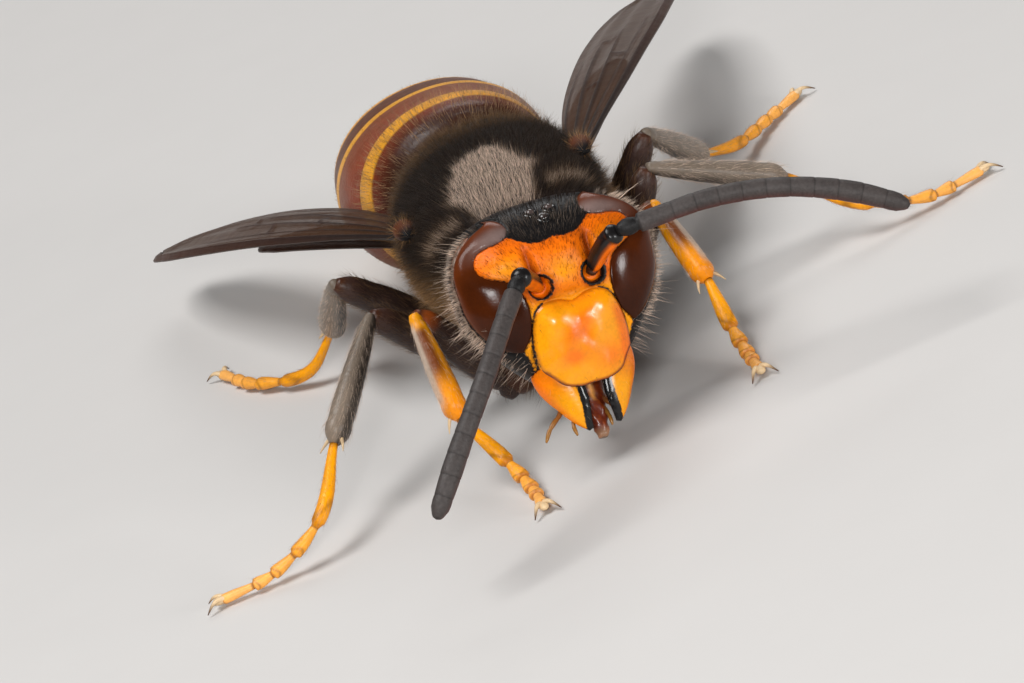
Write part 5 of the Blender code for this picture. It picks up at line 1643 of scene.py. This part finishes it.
def grain_group():
    """Uneven colour of a living shell: broad clouds and fine specks."""
    known = bpy.data.node_groups.get("shell_grain")
    if known:
        return known
    tree, given = effect_group("shell_grain", (("Vector", "Vector", None), ("Colour", "Color", None),
                                               ("Dark", "Color", None), ("Edge", "Float", -1.0),
                                               ("Cloud", "Float", 0.25), ("Speck", "Float", 0.15)),
                               (("Colour", "Color"), ("Mask", "Float")))
    cloud = noise(tree, given["Vector"], CLOUD_SCALE, 4.0)
    speck = noise(tree, given["Vector"], SPECK_SCALE, 2.0)

    def spread(value, amount):
        return maths(tree, "MULTIPLY", maths(tree, "SUBTRACT", value, 0.5), amount)

    both = maths(tree, "ADD", spread(cloud, given["Cloud"]), spread(speck, given["Speck"]))
    gain = maths(tree, "MULTIPLY_ADD", both, GRAIN_GAIN, 1.0)
    varied = scaled(tree, given["Colour"], gain)
    ragged = maths(tree, "ADD", spread(speck, 0.10), given["Edge"])
    mask = new_node(tree, "ShaderNodeMapRange", {"Value": ragged, "From Min": -0.02, "From Max": 0.02},
                    interpolation_type="SMOOTHSTEP").outputs["Result"]
    mixing = new_node(tree, "ShaderNodeMix", {0: mask, 6: varied, 7: given["Dark"]},
                      data_type="RGBA")
    new_node(tree, "NodeGroupOutput", {"Colour": mixing.outputs[2], "Mask": mask})
    return tree


def relief_group():
    """Height of a shell's fine pits and of short flat hairs lying on it."""
    known = bpy.data.node_groups.get("shell_relief")
    if known:
        return known
    tree, given = effect_group("shell_relief", (("Vector", "Vector", None), ("Pits", "Float", 1.0),
                                                ("Pit scale", "Float", 9000.0), ("Down", "Float", 0.5)),
                               (("Height", "Float"), ("Wear", "Float")))
    pits = new_node(tree, "ShaderNodeTexVoronoi", {"Vector": given["Vector"], "Scale": given["Pit scale"]},
                    feature="SMOOTH_F1")
    hollow = new_node(tree, "ShaderNodeMapRange", {"Value": pits.outputs["Distance"], "From Min": 0.1,
                                                   "From Max": 0.45}).outputs["Result"]
    nap = noise(tree, given["Vector"], NAP_SCALE, 3.0)
    wave = noise(tree, given["Vector"], WAVE_SCALE, 3.0)
    pitted = maths(tree, "MULTIPLY", hollow, given["Pits"])
    downy = maths(tree, "MULTIPLY_ADD", nap, given["Down"], pitted)
    height = maths(tree, "MULTIPLY_ADD", wave, 0.6, downy)
    new_node(tree, "NodeGroupOutput", {"Height": height, "Wear": wave})
    return tree


def shell_finish(name, roughness=0.35, dark_roughness=0.45, pits=1.0, pit_scale=9000.0, down=0.5,
                 bump=0.25, coat=0.2, cloud=0.25, speck=0.15, specular=0.28, alpha=None):
    """Principled material of one shell, coloured by its tone and its dark edge values."""
    known = bpy.data.materials.get(name)
    if known:
        return known
    material, tree, shader = blank_material(name)
    place = new_node(tree, "ShaderNodeTexCoord").outputs["Object"]
    tone, edge, gloss = painted(tree, "tone", "Color"), painted(tree, "dark_edge"), painted(tree, "gloss")
    grain = new_node(tree, "ShaderNodeGroup",
                     {"Vector": place, "Colour": tone, "Edge": edge, "Dark": (*colour("black"), 1.0),
                      "Cloud": cloud, "Speck": speck}, node_tree=grain_group())
    relief = new_node(tree, "ShaderNodeGroup",
                      {"Vector": place, "Pits": pits, "Pit scale": pit_scale, "Down": down},
                      node_tree=relief_group())
    tree.links.new(grain.outputs["Colour"], shader.inputs["Base Color"])
    rough = new_node(tree, "ShaderNodeMapRange", {"Value": grain.outputs["Mask"], "To Min": roughness,
                                                  "To Max": dark_roughness}).outputs["Result"]
    wear = maths(tree, "MULTIPLY_ADD", relief.outputs["Wear"], WEAR_SPAN, -WEAR_SPAN / 2)
    total = maths(tree, "ADD", rough, wear)
    tree.links.new(total, shader.inputs["Roughness"])
    lifted = new_node(tree, "ShaderNodeBump", {"Height": relief.outputs["Height"], "Strength": bump,
                                               "Distance": BUMP_DISTANCE})
    tree.links.new(lifted.outputs[0], shader.inputs["Normal"])
    shader.inputs["Coat Weight"].default_value = coat
    shader.inputs["Coat Roughness"].default_value = 0.12
    shader.inputs["Specular IOR Level"].default_value = specular
    if alpha is not None:
        thin = new_node(tree, "ShaderNodeMapRange", {"Value": gloss, "To Min": alpha, "To Max": 1.0})
        tree.links.new(thin.outputs["Result"], shader.inputs["Alpha"])
    return material


def hair_finish():
    """Material of the coat: each hair has its skin's hair colour, a little lighter or darker."""
    known = bpy.data.materials.get("coat_hair")
    if known:
        return known
    material, tree, shader = blank_material("coat_hair")
    tone, shade = painted(tree, "hair_tone", "Color"), painted(tree, "shade")
    darker, lighter = SHADE_RANGE
    gain = new_node(tree, "ShaderNodeMapRange",
                    {"Value": shade, "To Min": darker, "To Max": lighter}).outputs["Result"]
    tree.links.new(scaled(tree, tone, gain), shader.inputs["Base Color"])
    shader.inputs["Roughness"].default_value = 0.50
    shader.inputs["Specular IOR Level"].default_value = 0.18
    return material


# Operators


class HORNET_OT_head(bpy.types.Operator):
    """Builds the head's skin and its three simple eyes."""

    bl_idname = "hornet.head"
    bl_label = "Head"

    def execute(self, context):
        """Makes the pieces."""
        material = shell_finish("head_shell", roughness=0.38, dark_roughness=0.38, bump=0.40, coat=0.0,
                                down=1.3, pits=0.3, specular=0.20)
        make_piece("head_skin", head_shape(), material, ("head",))
        bead = shell_finish("ocellus_lens", roughness=0.10, pits=0.0, down=0.0, bump=0.0, coat=0.8)
        make_piece("ocelli", joined(ocellus_shapes()), bead, ("head",))
        return {"FINISHED"}


class HORNET_OT_eyes(bpy.types.Operator):
    """Builds the two compound eyes."""

    bl_idname = "hornet.eyes"
    bl_label = "Eyes"

    def execute(self, context):
        """Makes the pieces."""
        material = shell_finish("eye_facets", roughness=0.16, pits=1.0, pit_scale=26000.0, down=0.0,
                                bump=0.06, coat=0.0, cloud=0.35, speck=0.10, specular=0.16)
        for side in SIDES:
            make_piece(f"eye_lens_{side}", eye_shape(side), material, (f"eye_{side}",))
        return {"FINISHED"}


class HORNET_OT_mouth(bpy.types.Operator):
    """Builds the clypeus, the jaws, the folded lip and the palps."""

    bl_idname = "hornet.mouth"
    bl_label = "Clypeus, jaws and mouth"

    def execute(self, context):
        """Makes the pieces."""
        shield = shell_finish("clypeus_shell", roughness=0.22, dark_roughness=0.3, pits=0.3, bump=0.16,
                              down=0.3, coat=0.10, cloud=0.18, specular=0.36)
        make_piece("clypeus", clypeus_shape(), shield, ("head",))
        jaw = shell_finish("jaw_shell", roughness=0.26, dark_roughness=0.22, pits=0.4, bump=0.20, coat=0.1)
        for side in SIDES:
            make_piece(f"jaw_{side}", mandible_shape(side), jaw, (f"mandible_{side}",))
        lip = shell_finish("lip_shell", roughness=0.34, pits=0.2, bump=0.25, coat=0.2)
        make_piece("lip_and_palps", joined(mouth_shapes()), lip, ("mouthparts",))
        return {"FINISHED"}


class HORNET_OT_feelers(bpy.types.Operator):
    """Builds both feelers."""

    bl_idname = "hornet.feelers"
    bl_label = "Feelers"

    def execute(self, context):
        """Makes the pieces."""
        stem = shell_finish("scape_shell", roughness=0.30, pits=0.3, bump=0.20, coat=0.1)
        ringed = shell_finish("flagellum_shell", roughness=0.52, pits=0.4, pit_scale=20000.0, down=1.0,
                              bump=0.45, coat=0.0, cloud=0.35, speck=0.35)
        for side in SIDES:
            make_piece(f"feeler_stem_{side}", scape_shape(side), stem, (f"scape_{side}",))
            make_piece(f"feeler_rings_{side}", flagellum_shape(side), ringed,
                       (f"flagellum_{side}",))
        return {"FINISHED"}


class HORNET_OT_trunk(bpy.types.Operator):
    """Builds the thorax skin, the neck and the waist."""

    bl_idname = "hornet.trunk"
    bl_label = "Thorax, neck and waist"

    def execute(self, context):
        """Makes the pieces."""
        material = shell_finish("thorax_shell", roughness=0.60, bump=0.55, coat=0.0, down=0.8, specular=0.12)
        make_piece("thorax_skin", thorax_shape(), material, ("thorax",))
        neck = joint_shape(from_thorax([(0.0, -3.4, 0.2)])[0], from_head([(0.0, 0.45, -0.1)])[0], 0.60, 0.53)
        make_piece("neck_joint", neck, material, ("neck",))
        waist = joint_shape(from_thorax([(0.0, 3.4, -0.15)])[0], np.array([0.0, 4.9, 3.82]), 0.43, 0.40)
        make_piece("waist_joint", waist, material, ("waist",))
        return {"FINISHED"}


class HORNET_OT_gaster(bpy.types.Operator):
    """Builds the six plates of the gaster."""

    bl_idname = "hornet.gaster"
    bl_label = "Gaster"

    def execute(self, context):
        """Makes the pieces."""
        material = shell_finish("gaster_shell", roughness=0.38, pits=0.7, bump=0.30, down=0.8, coat=0.0,
                                cloud=0.30)
        for number in range(GASTER_PLATES):
            make_piece(f"gaster_plate_{number + 1}", gaster_shape(number), material,
                       (f"gaster_{number + 1}",))
        return {"FINISHED"}


class HORNET_OT_wings(bpy.types.Operator):
    """Builds the folded wings and the scales over their roots."""

    bl_idname = "hornet.wings"
    bl_label = "Wings"

    def execute(self, context):
        """Makes the pieces."""
        film = shell_finish("wing_film_skin", roughness=0.36, pits=0.0, down=0.4, bump=0.12, coat=0.0,
                            alpha=0.70, cloud=0.3, specular=0.15)
        scale = shell_finish("tegula_shell", roughness=0.55, bump=0.40, coat=0.0, specular=0.12)
        for side in SIDES:
            fore = wing_shape(side, FOREWING_LENGTH, FOREWING_HALF_WIDTH, FOREWING_VEINS, 0.0)
            make_piece(f"fore_film_{side}", fore, film, (f"forewing_{side}",))
            hind = wing_shape(side, HINDWING_LENGTH, HINDWING_HALF_WIDTH, HINDWING_VEINS, HINDWING_DROP)
            make_piece(f"hind_film_{side}", hind, film, (f"hindwing_{side}",))
            make_piece(f"wing_scale_{side}", tegula_shape(side), scale, (f"tegula_{side}",))
        return {"FINISHED"}


class HORNET_OT_legs(bpy.types.Operator):
    """Builds the six legs with their spurs, pads and claws."""

    bl_idname = "hornet.legs"
    bl_label = "Legs"

    def execute(self, context):
        """Makes the pieces."""
        material = shell_finish("leg_shell", roughness=0.38, pits=0.6, bump=0.35, down=0.8, coat=0.0)
        for name, points in LEGS.items():
            nodes = [f"{part}_{name}" for part in ("coxa", "femur", "tibia", "tarsus")]
            make_piece(f"leg_{name}", joined(leg_shapes(name, points)), material, nodes)
        return {"FINISHED"}


class HORNET_OT_coat(bpy.types.Operator):
    """Grows the hairs of head, thorax, gaster and legs."""

    bl_idname = "hornet.coat"
    bl_label = "Coat"

    def execute(self, context):
        """Makes the pieces."""
        things = bpy.data.objects
        long_hair = sizes().coat_length
        seed = sizes().coat_seed
        for number in range(HEAD_COATS):
            coat_piece(f"coat_head_{number + 1}", things["head_skin"], {**HEAD_HAIR, "Seed": seed + number})
        coat_piece("coat_clypeus", things["clypeus"], CLYPEUS_HAIR)
        for side in SIDES:
            coat_piece(f"coat_jaw_{side}", things[f"jaw_{side}"], JAW_HAIR)
            coat_piece(f"coat_scale_{side}", things[f"wing_scale_{side}"], SCALE_HAIR)
        coat_piece("coat_cheeks", things["head_skin"], {**CHEEK_HAIR, "Length": long_hair * CHEEK_LENGTH})
        coat_piece("coat_back", things["thorax_skin"], {**BACK_HAIR, "Length": long_hair * BACK_LENGTH})
        least, step = THORAX_SPREAD
        for number in range(THORAX_COATS):
            coat_piece(f"coat_thorax_{number + 1}", things["thorax_skin"],
                       {**THORAX_HAIR, "Seed": seed + number, "Spread": least + step * number})
        for number in range(GASTER_PLATES):
            coat_piece(f"coat_gaster_{number + 1}", things[f"gaster_plate_{number + 1}"], GASTER_HAIR)
        for name in LEGS:
            coat_piece(f"coat_leg_{name}", things[f"leg_{name}"], LEG_HAIR)
        return {"FINISHED"}


class HORNET_OT_stage(bpy.types.Operator):
    """Sets the pale floor, the soft lights and the camera."""

    bl_idname = "hornet.stage"
    bl_label = "Studio"

    def execute(self, context):
        """Makes floor, lights, world and camera."""
        mesh = bpy.data.meshes.new("floor")
        corners = ((-1, -1), (1, -1), (1, 1), (-1, 1))
        mesh.from_pydata([(x * FLOOR_HALF, y * FLOOR_HALF, 0.0) for x, y in corners], [], [(0, 1, 2, 3)])
        floor = placed("floor", mesh)
        material, tree, shader = blank_material("floor_paper")
        place = new_node(tree, "ShaderNodeTexCoord").outputs["Object"]
        near = (*(colour("floor") * 0.97), 1.0)
        far = (*colour("floor"), 1.0)
        ramp = new_node(tree, "ShaderNodeValToRGB", {"Fac": noise(tree, place, FLOOR_SCALE, 3.0)})
        ramp.color_ramp.elements[0].color = near
        ramp.color_ramp.elements[1].color = far
        tree.links.new(ramp.outputs["Color"], shader.inputs["Base Color"])
        shader.inputs["Roughness"].default_value = 0.8
        mesh.materials.append(material)
        self.lights()
        self.camera()
        return {"FINISHED"}

    def lights(self):
        """Four soft panels and an even pale surround."""
        target = Vector(PANEL_TARGET)
        for name, place, size, power in PANELS:
            light = bpy.data.lights.new(name, "AREA")
            light.shape = "RECTANGLE"
            light.size = size
            light.size_y = size * PANEL_HEIGHT_SHARE
            light.energy = power
            thing = placed(name, light)
            thing.location = place
            thing.rotation_euler = (target - Vector(place)).to_track_quat("-Z", "Y").to_euler()
        world = bpy.data.worlds.new("studio_air")
        world.use_nodes = True
        air = world.node_tree.nodes["Background"].inputs
        air["Color"].default_value = AIR_COLOUR
        air["Strength"].default_value = AIR_STRENGTH
        bpy.context.scene.world = world
        bpy.context.scene.view_settings.view_transform = "Standard"

    def camera(self):
        """Camera at the photograph's viewing angle."""
        azimuth, elevation, roll = np.radians((CAMERA_AZIMUTH, CAMERA_ELEVATION, CAMERA_ROLL))
        back = np.array([np.sin(azimuth) * np.cos(elevation), -np.cos(azimuth) * np.cos(elevation),
                         np.sin(elevation)])
        right = np.array([np.cos(azimuth), np.sin(azimuth), 0.0])
        up = np.cross(back, right)
        across = np.cos(roll) * right - np.sin(roll) * up
        upright = np.sin(roll) * right + np.cos(roll) * up
        place = (np.array(CAMERA_TARGET) + CAMERA_DISTANCE * back - PLAN_MIDDLE) * MM
        lens = bpy.data.cameras.new("camera")
        lens.sensor_width = SENSOR_WIDTH
        lens.lens = CAMERA_LENS
        lens.clip_start = 0.01
        thing = placed("camera", lens)
        matrix = Matrix.Identity(4)
        for column, axis in enumerate((across, upright, back)):
            for row in range(3):
                matrix[row][column] = axis[row]
        for row in range(3):
            matrix[row][3] = place[row]
        thing.matrix_world = matrix
        bpy.context.scene.camera = thing


OPERATORS = (HORNET_OT_head, HORNET_OT_eyes, HORNET_OT_mouth, HORNET_OT_feelers, HORNET_OT_trunk,
             HORNET_OT_gaster, HORNET_OT_wings, HORNET_OT_legs, HORNET_OT_coat, HORNET_OT_stage)


class HORNET_PT_panel(bpy.types.Panel):
    """Lists the steps that build the hornet."""

    bl_label = "Hornet"
    bl_idname = "HORNET_PT_panel"
    bl_space_type = "VIEW_3D"
    bl_region_type = "UI"
    bl_category = "Hornet"

    def draw(self, context):
        """Shows a button for each step and the values that may be changed."""
        for operator in OPERATORS:
            self.layout.operator(operator.bl_idname)
        for group in (context.scene.hornet_sizes, context.scene.hornet_colours):
            for name in group.bl_rna.properties.keys():
                if name not in ("rna_type", "name"):
                    self.layout.prop(group, name)


CLASSES = (HornetSizes, HornetColours, *OPERATORS, HORNET_PT_panel)


def register():
    """Registers the classes and the values they read."""
    for kind in CLASSES:
        bpy.utils.register_class(kind)
    bpy.types.Scene.hornet_sizes = PointerProperty(type=HornetSizes)
    bpy.types.Scene.hornet_colours = PointerProperty(type=HornetColours)


def unregister():
    """Takes the values and classes away again."""
    del bpy.types.Scene.hornet_colours
    del bpy.types.Scene.hornet_sizes
    for kind in reversed(CLASSES):
        bpy.utils.unregister_class(kind)


def main():
    """Builds everything."""
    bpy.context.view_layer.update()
    register()
    for operator in OPERATORS:
        space, call = operator.bl_idname.split(".")
        getattr(getattr(bpy.ops, space), call)()


if __name__ == "__main__":
    main()
